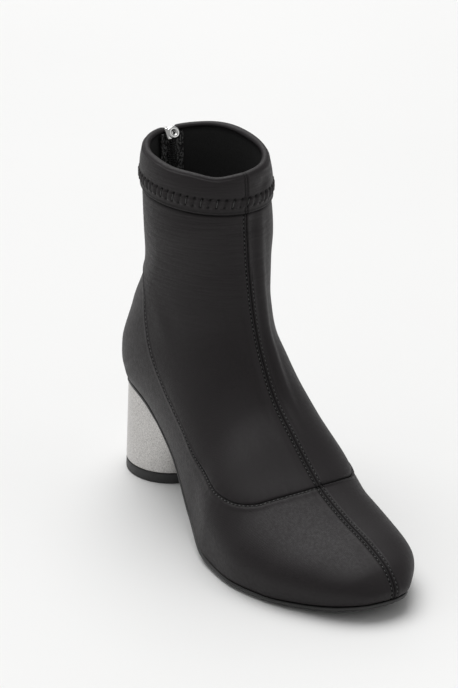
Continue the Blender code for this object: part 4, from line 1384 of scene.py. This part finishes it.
def add_lug(metal):
    """Inner plate of the slider with its ring and neck over the top of the tape, shaped as one."""
    side = np.array([0.0, slider_place()[1], 0.0])
    centre = Vector(LUG_RING + side) * MM
    deselect()
    bpy.ops.mesh.primitive_torus_add(
        major_radius=LUG_RADIUS * MM, minor_radius=LUG_WIRE * MM, major_segments=40, minor_segments=16,
        location=centre, rotation=(0, pi / 2, 0))
    lug = open_new()
    bpy.ops.transform.resize(value=(0.9, 1.05, 1.0), center_override=centre)
    bpy.ops.transform.rotate(value=LUG_LEAN, orient_axis="Y", center_override=centre)
    for middle, size in LUG_BLOCKS:
        middle = Vector(middle + side) * MM
        bpy.ops.mesh.select_all(action="DESELECT")
        bpy.ops.mesh.primitive_cube_add(size=MM, location=middle)
        bpy.ops.transform.resize(value=size, center_override=middle)
        bpy.ops.mesh.bevel(offset=1.0 * MM, segments=6)
        bpy.ops.transform.rotate(value=LUG_LEAN, orient_axis="Y", center_override=middle)
    close_piece(lug, 50, "slider_lug", metal, "boot", "polished_metal", "zip_slider")


def add_camera():
    """Camera at the photographed angle, set by its place and directions."""
    view = bpy.data.cameras.new("camera")
    view.lens = LENS
    view.sensor_width = SENSOR
    view.clip_end = CLIP_END
    camera = add_object("camera", view)
    turn, fall = CAMERA_TURN, CAMERA_FALL
    forward = Vector((-sin(turn) * cos(fall), cos(turn) * cos(fall), -sin(fall)))
    right = Vector((cos(turn), sin(turn), 0.0))
    matrix = Matrix((right, right.cross(forward), -forward)).transposed().to_4x4()
    matrix.translation = Vector(CAMERA_AT) * MM
    camera.matrix_world = matrix
    bpy.context.scene.camera = camera


def add_floor(finish):
    deselect()
    bpy.ops.mesh.primitive_circle_add(vertices=64, radius=FLOOR_RADIUS, fill_type="NGON", location=(0, 0, 0))
    floor = bpy.context.object
    floor.name = "floor"
    floor.data.materials.append(finish)


def add_lamp(name, kind, place, power):
    """Lamp of a kind that looks at the boot from its place."""
    lamp = bpy.data.lights.new(name, kind)
    lamp.energy = power
    piece = add_object(name, lamp)
    piece.location = place
    piece.rotation_euler = (Vector(LIGHT_AIM) - Vector(place)).to_track_quat("-Z", "Y").to_euler()
    return lamp


def add_light():
    """Pale surroundings, a soft overhead sun and three area lamps."""
    world = bpy.data.worlds.new("studio")
    world.use_nodes = True
    background = world.node_tree.nodes["Background"]
    background.inputs["Color"].default_value = (1.0, 1.0, 0.995, 1.0)
    background.inputs["Strength"].default_value = WORLD_STRENGTH
    bpy.context.scene.world = world
    bpy.context.scene.view_settings.view_transform = "Standard"
    add_lamp("overhead", "SUN", *OVERHEAD).angle = OVERHEAD_ANGLE
    for name, place, size, power in LAMPS:
        add_lamp(name, "AREA", place, power).size = size


metal = grained("polished metal")
rubber = black_rubber()
tape = grained("zip tape")
add_camera()
add_cords(grained("round cord"), metal)
add_upper(satin_fabric(), grained("lining"), grained("sewing thread"))
add_sole(rubber)
add_heel_part("heel", "heel_block", grained("silver heel cover"), "heel_cover", TOP_PIECE_SHARE, 1.0)
add_heel_part("top_piece", "heel_top_piece", rubber, "sole_rubber", 0.0, TOP_PIECE_SHARE)
add_zip(tape, grained("zip coil"))
add_tape_end(tape)
add_slider(metal)
add_bail(metal)
add_lug(metal)
add_tube("ring", ring_points(), RING_WIRE, metal, "polished_metal", "pull_ring", cyclic=True)
repaint("insole", grained("insole sock"))
add_floor(grained("pale floor"))
add_light()
